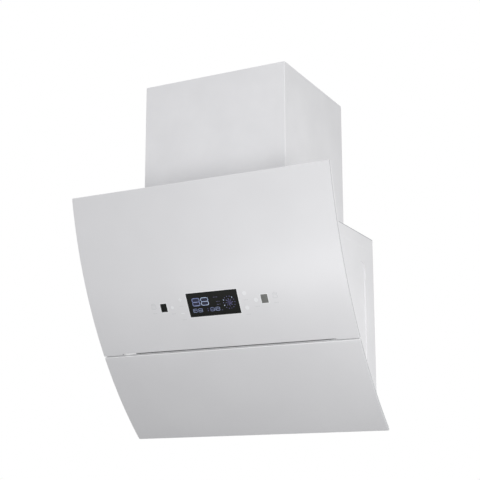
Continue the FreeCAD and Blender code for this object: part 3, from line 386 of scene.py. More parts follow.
def motorEnamel():
    # Black stoving enamel on the motor's drawn case: semi-gloss, with sags and dust baked into it.
    sag = 0.004         # from one sag to the next
    material, place = newFinish("stovingEnamel", {"Coat Weight": 0.3, "Coat Roughness": 0.2})
    ripple = addNode(material, "ShaderNodeTexNoise", {}, {"Vector": place, "Scale": 1 / sag, "Detail": 4.0})
    addNode(material, "ShaderNodeValToRGB", {"stops": [(0.35, "#26282A"), (0.75, "#383B3D")]},
            {"Fac": ripple.outputs["Fac"]}, {"Base Color": "Color"})
    addNode(material, "ShaderNodeMapRange", {},
            {"Value": ripple.outputs["Fac"], "To Min": 0.35, "To Max": 0.55}, {"Roughness": "Result"})
    addNode(material, "ShaderNodeBump", {},
            {"Height": ripple.outputs["Fac"], "Distance": 0.00005, "Strength": 0.4}, {"Normal": "Normal"})
    return material


def solderMask():
    # Fibreglass board under green solder mask: copper tracks show as paler, raised lines.
    track = 0.0045      # unit of the pattern, whose cells are 2.6 of it wide and half of it high
    material, place = newFinish("solderMask", {"Coat Weight": 0.5, "Coat Roughness": 0.15})
    tracks = addNode(material, "ShaderNodeTexBrick", {"offset": 0.37},
                     {"Vector": place, "Scale": 1 / track, "Mortar Size": 0.12, "Brick Width": 2.6,
                      "Row Height": 0.5, "Color1": linear("#0F4A2E"), "Color2": linear("#12553A"),
                      "Mortar": linear("#3F8F66")}, {"Base Color": "Color"})
    addNode(material, "ShaderNodeMapRange", {},
            {"Value": tracks.outputs["Fac"], "To Min": 0.42, "To Max": 0.28}, {"Roughness": "Result"})
    addNode(material, "ShaderNodeBump", {},
            {"Height": tracks.outputs["Fac"], "Distance": 0.00005, "Strength": 0.6}, {"Normal": "Normal"})
    return material


def nitrileRubber():
    # Black rubber mounts: matt, with a grey bloom and a talc-dusted grain.
    grain = 0.0008      # from one speck of talc to the next
    material, place = newFinish("nitrileRubber", {"Specular IOR Level": 0.3, "Sheen Weight": 0.15})
    dust = addNode(material, "ShaderNodeTexNoise", {}, {"Vector": place, "Scale": 1 / grain, "Detail": 6.0})
    addNode(material, "ShaderNodeValToRGB", {"stops": [(0.4, "#171717"), (0.8, "#333332")]},
            {"Fac": dust.outputs["Fac"]}, {"Base Color": "Color"})
    addNode(material, "ShaderNodeMapRange", {},
            {"Value": dust.outputs["Fac"], "To Min": 0.7, "To Max": 0.92}, {"Roughness": "Result"})
    addNode(material, "ShaderNodeBump", {},
            {"Height": dust.outputs["Fac"], "Distance": 0.00003, "Strength": 0.5}, {"Normal": "Normal"})
    return material


def frostedLens():
    # Moulded polycarbonate diffuser: milky, over a pattern of small round lenses.
    lenslet = 0.0028    # from one lens to the next
    material, place = newFinish("prismaticDiffuser", {
        "Coat Weight": 0.4, "Coat Roughness": 0.1, "Subsurface Weight": 0.3, "Subsurface Scale": 0.003,
        "Subsurface Radius": (1.0, 1.0, 0.9)})
    cells = addNode(material, "ShaderNodeTexVoronoi", {"feature": "SMOOTH_F1"},
                    {"Vector": place, "Scale": 1 / lenslet, "Randomness": 0.15, "Smoothness": 0.3})
    addNode(material, "ShaderNodeValToRGB", {"stops": [(0.1, "#F3F4EF"), (0.8, "#D9DCD8")]},
            {"Fac": cells.outputs["Distance"]}, {"Base Color": "Color"})
    addNode(material, "ShaderNodeMapRange", {},
            {"Value": cells.outputs["Distance"], "To Min": 0.25, "To Max": 0.45}, {"Roughness": "Result"})
    addNode(material, "ShaderNodeBump", {"invert": True},
            {"Height": cells.outputs["Distance"], "Distance": 0.0006, "Strength": 0.7}, {"Normal": "Normal"})
    return material


def leadSheath():
    # White PVC sheath: slightly waxy, with a faint spiral from the cores that are laid up inside it.
    lay = 0.009         # half of one turn of the cores: diagonal bands lie twice as far apart along an axis
    material, place = newFinish("pvcSheath", {"Specular IOR Level": 0.5})
    twist = addNode(material, "ShaderNodeTexWave", {"bands_direction": "DIAGONAL"},
                    {"Vector": place, "Scale": waveScale(lay), "Distortion": 0.4})
    addNode(material, "ShaderNodeValToRGB", {"stops": [(0.2, "#CFD1CF"), (0.8, "#DEE0DE")]},
            {"Fac": twist.outputs["Fac"]}, {"Base Color": "Color"})
    addNode(material, "ShaderNodeMapRange", {},
            {"Value": twist.outputs["Fac"], "To Min": 0.4, "To Max": 0.52}, {"Roughness": "Result"})
    return material


print("finishes")
finishes = {
    "white_steel": powderCoat("whitePowderCoat", "#E7E7E8", "#ECECED", 0.42),
    "white_glass": backPaintedGlass(),
    "tray_steel": powderCoat("trayPowderCoat", "#E4E4E5", "#E9E9EA", 0.40),
    "dark_window": smokedGlass("smokedGlass", "#0C0E0B", "#141611"),
    "lamp_glass": frostedLens(),
    "zinc_steel": zincPlate(),
    "bright_steel": platedSteel(),
    "wheel_aluminium": millAluminium("wheelAluminium", "#B9BCBF", "#CDD0D2", 0.0009, 0.38),
    "filter_aluminium": millAluminium("anodisedFilter", "#B4B8BB", "#C9CCCE", 0.0006, 0.34),
    "motor_case": motorEnamel(),
    "black_plastic": mouldedPlastic("blackAbs", "#151618", "#1F2123", 0.5, 0.0007),
    "white_plastic": mouldedPlastic("whiteAbs", "#DADDDB", "#E3E5E4", 0.42, 0.0007),
    "circuit_board": solderMask(),
    "rubber_mount": nitrileRubber(),
    "lead_sheath": leadSheath(),
}
extraFinishes = {
    # The arris's paler colour is a painted highlight along the rounded edges of the glass, and it lightens
    # the slit between the glasses.
    "arrisPaintedHighlight": groundGlassEdgeAndPaintedLight("polishedArrisPaintedHighlight", "#F6F7F7", "#FCFCFC", 1.0),
    # The side edges' grey is partly the ground glass's own tone and partly painted shade.
    "glassEdge": groundGlassEdgeAndPaintedLight("groundGlassEdgeAndPaintedLight", "#C2C3C4", "#CDCECF", 0.3),
    # A grey strip of painted shade along the housing's top edges.
    "shadeLine": mouldedPlastic("greyShadeLine", "#B2B4B5", "#BEC0C1", 0.6, 0.0012),
    # The right sensor window is the same dark glass as the left. Its mid grey is a painted reflection of the
    # light.
    "sensorPaintedReflection": smokedGlass("sensorGlassPaintedReflection", "#747572", "#848582"),
    "lilacDigit": displayGlow("lilacGlow", "#5F6A96", "#8B96BC", 0.6),
    "paleDigit": displayGlow("paleGlow", "#8494B2", "#B4C1D4", 0.6),
    "navyPanes": displayGlow("navyGlow", "#05071E", "#0A0E30", 0.5),
    "smallDigits": displayGlow("smallGlow", "#565E80", "#8C96B4", 0.6),
    "fanSymbol": displayGlow("fanGlow", "#3C3A5C", "#5E5C86", 0.6),
    "faintRows": displayGlow("faintGlow", "#34334A", "#4A4868", 0.5),
    "whiteInk": printedInk("whiteCeramicInk", "#F0F1F2", "#F8F9F9"),
    "softInk": printedInk("thinCeramicInk", "#ECEDEE", "#F2F3F4"),
    "greyInk": printedInk("greyCeramicInk", "#C8CACB", "#D0D2D3"),
}


def finishPiece(piece, body, slotName, *nodes, finish=None):
    # Gives a finished piece its material, from its slot unless another finish is given, and its body, and
    # hides the nodes that it stands for.
    if not piece.data.materials:
        piece.data.materials.append(finish or finishes[slotName])
    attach(piece, body)
    if nodes:
        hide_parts(*nodes)
    return piece


# Both glasses lie on one cylinder, whose axis runs across the hood. A travel is a way down it from the top.
front = {
    "topY": -0.3917,            # top outer edge of the upper glass
    "topZ": 0.254,
    "radius": 0.9273,           # outer face of both glasses
    "topAngle": math.radians(12.19),
    "halfWidth": 0.300,
    "glass": 0.005,
    "bond": 0.0003,             # between a glass and its tray
    "upperLength": 0.357,       # along the outer face
    "flapStart": 0.3595,
    "flapEnd": 0.5841,
    "arris": 0.0016,
    "rim": 0.007,               # depth of a tray's rim
    "trayIn": 0.001,            # a tray stands this far in from the edge of its glass
    "flapTrayIn": 0.0035,       # the same at the two sides of the flap's tray
    "trayEdge": 0.0005,
    "lip": 0.0011,              # how far the flap's tray reaches up past its glass
    "lipLap": 0.003,            # how far the lip runs down into the tray
    "stepsPerMetre": 160,
}
axisY = front["topY"] + front["radius"] * math.cos(front["topAngle"])
axisZ = front["topZ"] + front["radius"] * math.sin(front["topAngle"])
frontAxis = (0, axisY, axisZ)


def angleAt(travel):
    return front["topAngle"] + travel / front["radius"]


def frontPoint(x, radius, travel):
    angle = angleAt(travel)
    return Vector((x, axisY - radius * math.cos(angle), axisZ - radius * math.sin(angle)))


def radiusOf(point):
    return math.hypot(point.y - axisY, point.z - axisZ)


def onFront(piece, x, radius, travel):
    # Takes a piece drawn at the origin, with +Y into the hood and +Z up, to its place on the front.
    turn = Matrix.Rotation(angleAt(travel), 4, "X")
    piece.data.transform(Matrix.Translation(frontPoint(x, radius, travel)) @ turn)
    return piece


def spun(angle, centre, steps):
    # Spins what is selected about an axis along X; a positive angle goes from the wall side over the top.
    bpy.ops.mesh.spin(steps=steps, angle=angle, center=centre, axis=(-1, 0, 0))


def frontSlab(name, x0, x1, inner, outer, start, end):
    # A rectangle across the front, spun down it about the axis of the curve.
    nothingSelected()
    place = frontPoint((x0 + x1) / 2, (inner + outer) / 2, start)
    bpy.ops.mesh.primitive_plane_add(size=1, location=place, rotation=(angleAt(start), 0, 0))
    bpy.context.object.scale = (x1 - x0, outer - inner, 1)
    piece = placeApplied(name)
    openMesh(piece)
    bpy.ops.mesh.select_all(action="SELECT")
    steps = max(2, round((end - start) * front["stepsPerMetre"]))
    spun((end - start) / front["radius"], frontAxis, steps)
    closeMesh()
    return mergedOutwards(piece)


controls = {
    "travel": 0.2567,           # middle of the display and of the sensor windows
    "displayWidth": 0.1166,
    "displayHeight": 0.050,
    "sensorX": 0.1177,
    "sensorWidth": 0.0128,
    "sensorHeight": 0.0163,
    "gap": 0.00025,             # round each window in its opening
    "windowEdge": 0.0003,
    "boardHalf": (0.1596, 0.0326),   # opening in the tray for the touch board
}
grip = {"halfWidth": 0.251, "depth": 0.0025, "flapDepth": 0.0022}    # the slit is wider along its middle
gripStart = front["upperLength"] - grip["depth"]
gripEnd = front["upperLength"] + cutPast["gripEnd"]
outerFace = front["radius"]
innerFace = outerFace - front["glass"]
trayOuter = innerFace - front["bond"]
trayInner = trayOuter - sheetSteel
rimInner = trayOuter - front["rim"]


def windowSlab(name, centreX, width, height, gap, inner, outer):
    half = height / 2 - gap
    side = width / 2 - gap
    middle = controls["travel"]
    return frontSlab(name, centreX - side, centreX + side, inner, outer, middle - half, middle + half)


def windowSlabs(names, gap, inner, outer):
    # The display's window, then the left and the right sensor's.
    display, left, right = names
    slabs = [windowSlab(display, 0, controls["displayWidth"], controls["displayHeight"], gap, inner, outer)]
    for name, side in ((left, -1), (right, 1)):
        slabs.append(windowSlab(name, side * controls["sensorX"], controls["sensorWidth"],
                                controls["sensorHeight"], gap, inner, outer))
    return slabs


def gripSlab(inner, outer, start, end):
    return frontSlab("gripCut", -grip["halfWidth"], grip["halfWidth"], inner, outer, start, end)


def glassFinish(piece):
    # The white-painted face shows from the front. The arris and the flat edges that face up and down, such as
    # those across the slit, take the paler finish, a painted highlight. The flat edges at the two sides take
    # the greyer one, which is partly painted shade.
    for finish in (finishes["white_glass"], extraFinishes["arrisPaintedHighlight"], extraFinishes["glassEdge"]):
        piece.data.materials.append(finish)
    for polygon in piece.data.polygons:
        outwards = Vector((0, polygon.center.y - axisY, polygon.center.z - axisZ)).normalized()
        face = abs(polygon.normal.dot(outwards)) > 0.95
        sideEdge = abs(polygon.normal.x) > 0.3
        polygon.material_index = 0 if face else 2 if sideEdge else 1


print("front glass")
upperGlass = frontSlab("upperGlass", -front["halfWidth"], front["halfWidth"], innerFace, outerFace,
                       0, front["upperLength"])
combined(upperGlass, [gripSlab(innerFace - cutPast["grip"], outerFace + cutPast["grip"], gripStart, gripEnd)])
roundedEdges(upperGlass, front["arris"], 3)
combined(upperGlass, windowSlabs(["cutDisplay", "cutLeft", "cutRight"], 0, innerFace - cutPast["window"],
                                 outerFace + cutPast["window"]))
smoothed(upperGlass)
flapGlass = frontSlab("flapGlass", -front["halfWidth"], front["halfWidth"], innerFace, outerFace,
                      front["flapStart"], front["flapEnd"])
roundedEdges(flapGlass, front["arris"], 3)
for glass, body, node in ((upperGlass, "housing", "upper_glass"), (flapGlass, "flap", "flap_glass")):
    glassFinish(glass)
    finishPiece(glass, body, "white_glass", node)


def tray(name, start, end, inFromSide):
    # Sheet bonded behind a glass: a slab hollowed from its back, which leaves the rim on all four sides.
    half = front["halfWidth"] - inFromSide
    backWithin = 0.0004     # the middle of a back face lies a little inside the curve
    piece = frontSlab(name, -half, half, rimInner, trayOuter, start + front["trayIn"], end - front["trayIn"])
    openMesh(piece)
    pickParts(piece, "FACE", lambda face: abs(radiusOf(face.calc_center_median()) - rimInner) < backWithin)
    bpy.ops.mesh.inset(thickness=sheetSteel, use_even_offset=True)
    bpy.ops.mesh.extrude_region_move()
    scale = trayInner / rimInner
    bpy.ops.transform.resize(value=(1, scale, scale), center_override=frontAxis)
    closeMesh()
    return mergedOutwards(piece)


print("trays")
upperTray = tray("upperTray", 0, front["upperLength"], front["trayIn"])
boardX, boardS = controls["boardHalf"]
touchCut = frontSlab("touchCut", -boardX, boardX, rimInner - cutPast["touchBoard"], innerFace,
                     controls["travel"] - boardS, controls["travel"] + boardS)
combined(upperTray, [touchCut, gripSlab(rimInner - cutPast["grip"], innerFace, gripStart - front["trayIn"],
                                        gripEnd)])
flapTray = tray("flapTray", front["flapStart"], front["flapEnd"], front["flapTrayIn"])
combined(flapTray, [gripSlab(rimInner - cutPast["grip"], trayInner, front["flapStart"] - cutPast["gripEnd"],
                             front["flapStart"] + grip["flapDepth"])])
# A lip of the sheet stands up behind the slit and closes most of it to the eye.
lipHalf = front["halfWidth"] - front["flapTrayIn"]
lip = frontSlab("lip", -lipHalf, lipHalf, trayInner, trayOuter,
                front["flapStart"] - front["lip"], front["flapStart"] + front["lipLap"])
combined(flapTray, [lip], "UNION")
for piece, body, node in ((upperTray, "housing", "upper_tray"), (flapTray, "flap", "flap_tray")):
    roundedEdges(piece, front["trayEdge"], 3)
    finishPiece(piece, body, "tray_steel", node)

print("windows and marks")
displayWindow, sensorLeft, sensorRight = windowSlabs(
    ["displayWindow", "sensorWindowLeft", "sensorWindowRight"], controls["gap"], innerFace + front["bond"],
    outerFace
)
for window in (displayWindow, sensorLeft, sensorRight):
    roundedEdges(window, controls["windowEdge"])
finishPiece(displayWindow, "housing", "dark_window", "display_window")
finishPiece(sensorLeft, "housing", "dark_window", "sensor_windows")
# The right window takes the mid grey of a painted reflection.
finishPiece(sensorRight, "housing", "dark_window", finish=extraFinishes["sensorPaintedReflection"])


def outline(name, window, start, end):
    # A frame printed on the glass round a window, this far out from its edge.
    whole = windowSlab(name, *window, -end, outerFace - filmThickness, outerFace + filmThickness)
    hole = windowSlab("hole", *window, -start, outerFace - cutPast["frame"], outerFace + cutPast["frame"])
    return combined(whole, [hole])


def barMark(length, height, turn=0.0, corner=0.4):
    # A flat bar with clipped corners, drawn at the origin and facing -Y.
    nothingSelected()
    bpy.ops.mesh.primitive_plane_add(size=1, rotation=(math.pi / 2, 0, 0))
    bpy.context.object.scale = (length, height, 1)
    piece = placeApplied("bar")
    openMesh(piece)
    bpy.ops.mesh.select_all(action="SELECT")
    bpy.ops.mesh.bevel(offset=corner * min(length, height), segments=1, affect="VERTICES")
    bpy.ops.mesh.extrude_region_move(TRANSFORM_OT_translate={"value": (0, filmThickness, 0)})
    closeMesh()
    piece.data.transform(Matrix.Rotation(turn, 4, "Y"))
    return mergedOutwards(piece)


def dotMark(radius, sides=20):
    return rod("dot", radius, (0, 0, 0), (0, filmThickness, 0), sides)


def ringMark(radius, line, sides=32):
    nothingSelected()
    bpy.ops.mesh.primitive_torus_add(
        major_radius=radius, minor_radius=line / 2, major_segments=sides, minor_segments=8,
        rotation=(math.pi / 2, 0, 0)
    )
    piece = placeApplied("ring")
    piece.data.transform(Matrix.Scale(filmThickness / line, 4, (0, 1, 0)))
    return mergedOutwards(piece)


def markAt(piece, x, travel):
    return onFront(piece, x, outerFace + filmThickness, travel)


digits = {
    "large": {"width": 0.0176, "height": 0.0172, "stroke": 0.0012, "places": [-0.0390, -0.0185],
              "travel": 0.2507},
    "small": {"width": 0.0104, "height": 0.0080, "stroke": 0.0009,
              "places": [-0.0448, -0.0326, -0.0042, 0.0080], "travel": 0.2690},
}
# How the bars and panes of a figure are drawn, in strokes.
figure = {"barShorter": 3.0, "sideShorter": 2.2, "cornerLength": 1.9, "cornerWidth": 0.9, "cornerIn": 0.75,
          "cornerDown": 0.65, "paneNarrower": 4, "paneShorter": 2.4}


def digitMarks(size, x):
    # The seven thin bars of a figure eight, and short slanted ones across its corners.
    stroke = size["stroke"]
    width = size["width"] - stroke
    height = size["height"] - stroke
    marks = []
    for step in (-1, 0, 1):
        bar = barMark(width - stroke * figure["barShorter"], stroke)
        marks.append(markAt(bar, x, size["travel"] + step * height / 2))
    for side in (-1, 1):
        for step in (-1, 1):
            middle = size["travel"] + step * height / 4
            bar = barMark(stroke, height / 2 - stroke * figure["sideShorter"])
            marks.append(markAt(bar, x + side * width / 2, middle))
            for end in (-1, 1):
                corner = barMark(stroke * figure["cornerLength"], stroke * figure["cornerWidth"],
                                 side * end * math.radians(45))
                marks.append(markAt(corner, x + side * (width / 2 - stroke * figure["cornerIn"]),
                                    middle + end * (height / 4 - stroke * figure["cornerDown"])))
    return marks


def digitGlow(size, x):
    # The unlit panes inside a large figure, navy in the light that leaks from its bars.
    width = size["width"] - size["stroke"] * figure["paneNarrower"]
    height = size["height"] / 2 - size["stroke"] * figure["paneShorter"]
    return [markAt(barMark(width, height, corner=0.2), x, size["travel"] + step * size["height"] / 4)
            for step in (-1, 1)]


def rowOfBars(x, travel, lengths, height, gap):
    # Bars one after another across the front.
    marks = []
    for length in lengths:
        marks.append(markAt(barMark(length, height), x + length / 2, travel))
        x += length + gap
    return marks


fanIcon = {"x": 0.0373, "travel": 0.2574, "radius": 0.0132, "dots": 14, "dot": 0.00085, "bright": (2, 6, 8),
           "brightSize": 1.25, "rays": 8, "rayInner": 0.0026, "rayOuter": 0.0092, "rayWidth": 0.0009,
           "rayTurn": 0.35, "hub": 0.0019, "hubLine": 0.0009}


def fanMark(piece, angle, reach):
    # Takes a mark to its place on the round fan symbol, this far from the middle.
    return markAt(piece, fanIcon["x"] + reach * math.cos(angle), fanIcon["travel"] - reach * math.sin(angle))


colon = {"x": -0.0148, "travels": (0.2668, 0.2712), "radius": 0.0010}    # between the small figures
faintRows = {                   # where each row starts, and how long its bars are
    "height": 0.0013, "gap": 0.0010,
    "rows": [(0.0030, 0.2435, (0.0030, 0.0016, 0.0034)), (0.0076, 0.2533, (0.0050, 0.0026)),
             (0.0080, 0.2596, (0.0056, 0.0022)), (0.0166, 0.2722, (0.0030,))],
}
lilacMarks = digitMarks(digits["large"], digits["large"]["places"][0])
paleMarks = digitMarks(digits["large"], digits["large"]["places"][1])
navyMarks = []
for x in digits["large"]["places"]:
    navyMarks += digitGlow(digits["large"], x)
smallMarks = []
for x in digits["small"]["places"]:
    smallMarks += digitMarks(digits["small"], x)
dimMarks = [markAt(dotMark(colon["radius"]), colon["x"], travel) for travel in colon["travels"]]
for count in range(fanIcon["dots"]):
    angle = 2 * math.pi * count / fanIcon["dots"]
    bright = count in fanIcon["bright"]
    dot = dotMark(fanIcon["dot"] * (fanIcon["brightSize"] if bright else 1))
    marks = paleMarks if bright else dimMarks
    marks.append(fanMark(dot, angle, fanIcon["radius"]))
for count in range(fanIcon["rays"]):
    angle = 2 * math.pi * count / fanIcon["rays"]
    ray = barMark(fanIcon["rayOuter"] - fanIcon["rayInner"], fanIcon["rayWidth"], -angle - fanIcon["rayTurn"])
    dimMarks.append(fanMark(ray, angle, (fanIcon["rayInner"] + fanIcon["rayOuter"]) / 2))
dimMarks.append(fanMark(ringMark(fanIcon["hub"], fanIcon["hubLine"]), 0, 0))
faintMarks = []
for x, travel, lengths in faintRows["rows"]:
    faintMarks += rowOfBars(x, travel, lengths, faintRows["height"], faintRows["gap"])
for name, marks in (("lilacDigit", lilacMarks), ("paleDigit", paleMarks), ("navyPanes", navyMarks),
                    ("smallDigits", smallMarks), ("fanSymbol", dimMarks), ("faintRows", faintMarks)):
    finishPiece(joined(name, marks), "housing", "dark_window", finish=extraFinishes[name])

touch = {
    "plus": (-0.0750, 0.2423), "minus": (-0.0754, 0.2723), "timer": (-0.0973, 0.2573),
    "lamp": (0.0756, 0.2414), "flap": (0.0751, 0.2724), "power": (0.0984, 0.2576),
    "discs": {"timer": 0.0035, "lamp": 0.0045, "flap": 0.0045, "power": 0.0045},
    "barHeight": 0.0022, "barLength": 0.0086,
    "labelDrop": 0.0142, "labelHeight": 0.0013, "labelParts": (0.0016, 0.0024, 0.0012, 0.0020),
    "labelGap": 0.0008,
    "hand": (0.1418, 0.2530),
}
frames = {"dark": 0.0011, "white": 0.0026}      # how far out each printed frame reaches from its window
sensorSize = (controls["sensorWidth"], controls["sensorHeight"])
openings = [(0, controls["displayWidth"], controls["displayHeight"]), (-controls["sensorX"], *sensorSize),
            (controls["sensorX"], *sensorSize)]
darkFrames = [outline("darkFrame", window, 0, frames["dark"]) for window in openings[:2]]
finishPiece(joined("darkPrint", darkFrames), "housing", "dark_window")
# The right window's printed frame takes the same painted reflection.
finishPiece(outline("sensorFramePaintedReflection", openings[2], 0, frames["dark"]), "housing", "dark_window",
            finish=extraFinishes["sensorPaintedReflection"])
whiteFrames = [outline("whiteFrame", window, frames["dark"], frames["white"]) for window in openings]
finishPiece(joined("whitePrint", whiteFrames), "housing", "white_glass", finish=extraFinishes["whiteInk"])
softMarks = [
    markAt(barMark(touch["barLength"], touch["barHeight"]), *touch["plus"]),
    markAt(barMark(touch["barLength"], touch["barHeight"], math.pi / 2), *touch["plus"]),
    markAt(barMark(touch["barLength"], touch["barHeight"]), *touch["minus"]),
]
for name, radius in touch["discs"].items():
    softMarks.append(markAt(dotMark(radius, 40), *touch[name]))
finishPiece(joined("touchPrint", softMarks), "housing", "white_glass", finish=extraFinishes["softInk"])

greyMarks = []
labels = [touch[name] for name in ("plus", "minus", "timer", "lamp", "flap", "power")]
labels += [(side * touch["hand"][0], touch["hand"][1]) for side in (-1, 1)]
labelHalf = (sum(touch["labelParts"]) + (len(touch["labelParts"]) - 1) * touch["labelGap"]) / 2
for x, travel in labels:
    greyMarks += rowOfBars(x - labelHalf, travel + touch["labelDrop"], touch["labelParts"],
                           touch["labelHeight"], touch["labelGap"])

hand = {
    "fingers": [(-0.0042, 0.0050), (-0.0014, 0.0064), (0.0014, 0.0062), (0.0042, 0.0048)],  # across, length
    "fingerWidth": 0.0009,
    "fingersUp": 0.0030,
    "spread": 0.12,             # turn from one finger to the next
    # the foot of the palm, then its two sides: across, down, width, height and turn
    "palm": [(0, 0.0042, 0.0085, 0.0009, 0.1), (-0.0046, 0.0012, 0.0009, 0.0058, 0.15),
             (0.0048, 0.0012, 0.0009, 0.0058, -0.25)],
}


def handMarks(side):
    # A hand beside a sensor, in thin bars: four fingers, and the foot and two sides of the palm.
    x, travel = side * touch["hand"][0], touch["hand"][1]
    marks = []
    for finger, (across, length) in enumerate(hand["fingers"]):
        bar = barMark(hand["fingerWidth"], length, side * (finger - 1.5) * hand["spread"])
        marks.append(markAt(bar, x + across, travel - hand["fingersUp"] - length / 3))
    for across, down, width, height, turn in hand["palm"]:
        marks.append(markAt(barMark(width, height, turn), x + across, travel + down))
    return marks


for side in (-1, 1):
    greyMarks += handMarks(side)
finishPiece(joined("greyPrint", greyMarks), "housing", "white_glass", finish=extraFinishes["greyInk"])


chimney = {
    "halfWidth": 0.169,
    "depth": 0.308,
    "low": 0.186,
    "high": 0.512,
    "return": 0.014,            # the front sheet's edges, folded back at its sides
    "bend": 0.0016,
    "edge": 0.00025,
    "seam": 0.0005,             # from the return to the visible side sheet
    "lap": 0.0003,              # clearance of the side sheet behind the front
    "step": 0.0004,             # where the side sheet steps out to its visible skin
    "flange": 0.015,
    "offWall": 0.0002,
    "sideBend": 0.0002,
    "sideEdge": 0.00015,
    "footClear": 0.0002,
    "screwX": 0.1591,
    "screwY": (-0.077, -0.231),
    "screwHole": 0.0015,        # radius
    "screwCut": (0.18, 0.19),   # lower and upper end of the rod that cuts the hole
}


def foldedSheet(name, points, low, high, thickness, side, bend):
    # One wall as a plane, its last edge pulled on round the corners, then bent and thickened.
    nothingSelected()
    first, second = (Vector((*point, 0)) for point in points[:2])
    along = second - first
    middle = (first + second) / 2 + Vector((0, 0, (low + high) / 2))
    bpy.ops.mesh.primitive_plane_add(
        size=1, location=middle, rotation=(math.pi / 2, 0, math.atan2(along.y, along.x))
    )
    bpy.context.object.scale = (along.length, high - low, 1)
    piece = placeApplied(name)
    openMesh(piece)
    pickParts(piece, "EDGE", lambda edge: all((v.co.xy - second.xy).length < onLine for v in edge.verts))
    for before, after in zip(points[1:], points[2:]):
        move = (after[0] - before[0], after[1] - before[1], 0)
        bpy.ops.mesh.extrude_region_move(TRANSFORM_OT_translate={"value": move})
    pickParts(piece, "EDGE", lambda edge: len(edge.link_faces) == 2)
    bpy.ops.mesh.bevel(offset=bend, segments=4, affect="EDGES")
    closeMesh()
    return shaped(piece, "SOLIDIFY", thickness=thickness, offset=side, use_even_offset=True)


print("chimney cover")
coverHalf = chimney["halfWidth"]
coverFront = -chimney["depth"]
returnY = coverFront + chimney["return"]
chimneyFront = foldedSheet(
    "chimneyFront",
    [(-coverHalf, returnY), (-coverHalf, coverFront), (coverHalf, coverFront), (coverHalf, returnY)],
    chimney["low"], chimney["high"], sheetSteel, -1, chimney["bend"]
)
roundedEdges(chimneyFront, chimney["edge"])
finishPiece(chimneyFront, "housing", "white_steel", "chimney_front")


def chimneySide(name, side):
    # Side sheet: a strip set back behind the front's return, the visible skin and a flange at the wall.
    skin = coverHalf - sheetSteel
    lapY = coverFront + sheetSteel + chimney["lap"]
    seamY = returnY + chimney["seam"]
    flangeX = skin - chimney["flange"]
    wallY = -chimney["offWall"]
    points = [(side * flangeX, lapY), (side * skin, lapY), (side * skin, seamY - chimney["step"]),
              (side * coverHalf, seamY), (side * coverHalf, wallY), (side * flangeX, wallY)]
    sheet = foldedSheet(name, points, chimney["low"], chimney["high"], sheetSteel, -side, chimney["sideBend"])
    foot = box("foot", (flangeX, seamY + chimney["return"], chimney["low"]),
               (skin - chimney["footClear"], 0, chimney["low"] + sheetSteel))
    x = chimney["screwX"]
    low, high = chimney["screwCut"]
    for y in chimney["screwY"]:
        combined(foot, [rod("hole", chimney["screwHole"], (x, y, low), (x, y, high), 16)])
    if side < 0:
        foot.data.transform(Matrix.Scale(-1, 4, (1, 0, 0)))
        mergedOutwards(foot)
    roundedEdges(sheet, chimney["sideEdge"])
    return joined(name, [sheet, foot])


finishPiece(chimneySide("chimneySideLeft", -1), "housing", "white_steel", "chimney_side_left")
finishPiece(chimneySide("chimneySideRight", 1), "housing", "white_steel", "chimney_side_right")
slider = {"halfWidth": 0.1658, "front": -0.3045, "back": -0.0015, "low": 0.190, "high": 0.508, "sheet": 0.001,
          "bend": 0.0014, "edge": 0.0002}
sliderHalf = slider["halfWidth"]
flangeEdge = sliderHalf - chimney["flange"]
chimneyInner = foldedSheet(
    "chimneyInner",
    [(-flangeEdge, slider["back"]), (-sliderHalf, slider["back"]), (-sliderHalf, slider["front"]),
     (sliderHalf, slider["front"]), (sliderHalf, slider["back"]), (flangeEdge, slider["back"])],
    slider["low"], slider["high"], slider["sheet"], 1, slider["bend"]
)
roundedEdges(chimneyInner, slider["edge"])
finishPiece(chimneyInner, "chimney_slide", "white_steel", "chimney_inner")


housing = {
    "halfWidth": 0.237,
    "low": -0.186,
    "high": 0.186,
    "sideEdge": 0.9147,         # radius of the side's front edge
    "hingeRadius": 0.9163,
    "hingeTravel": 0.3745,
    "relief": 0.019,            # clear circle round the hinge
    "frontOuter": 0.900,        # radius that the side keeps to, from the slit to the hinge
    "edge": 0.0005,
    "blankFront": -0.400,       # the side starts as a flat sheet that reaches out to here
    "blankCut": (1.25, -0.02, 0.62),    # outer radius, start and end of the block that trims it
}
pad = {"height": 0.0018, "back": -0.012, "top": 0.155, "bottom": -0.162, "inFromEdge": 0.046, "corner": 0.022,
       "shoulder": 0.0014, "backSteps": 10, "topSteps": 14, "curveSteps": 40, "lowSteps": 8,
       "samePoint": 0.00002}
# The groove's ends are round: the corners take just under half its width.
groove = {"near": -0.054, "far": -0.090, "top": 0.123, "bottom": -0.124, "cornerShare": 0.4999}
# A grey bead just below the top edge, along the joint where the top is folded over the side, is painted
# shade: it stands in for the dark line of the side's rounded top edge.
shadeLine = {"down": 0.0006, "width": 0.0015, "depth": 0.0003, "proud": 0.00015, "fromFront": 0.002,
           "fromWall": 0.001, "edge": 0.0001}


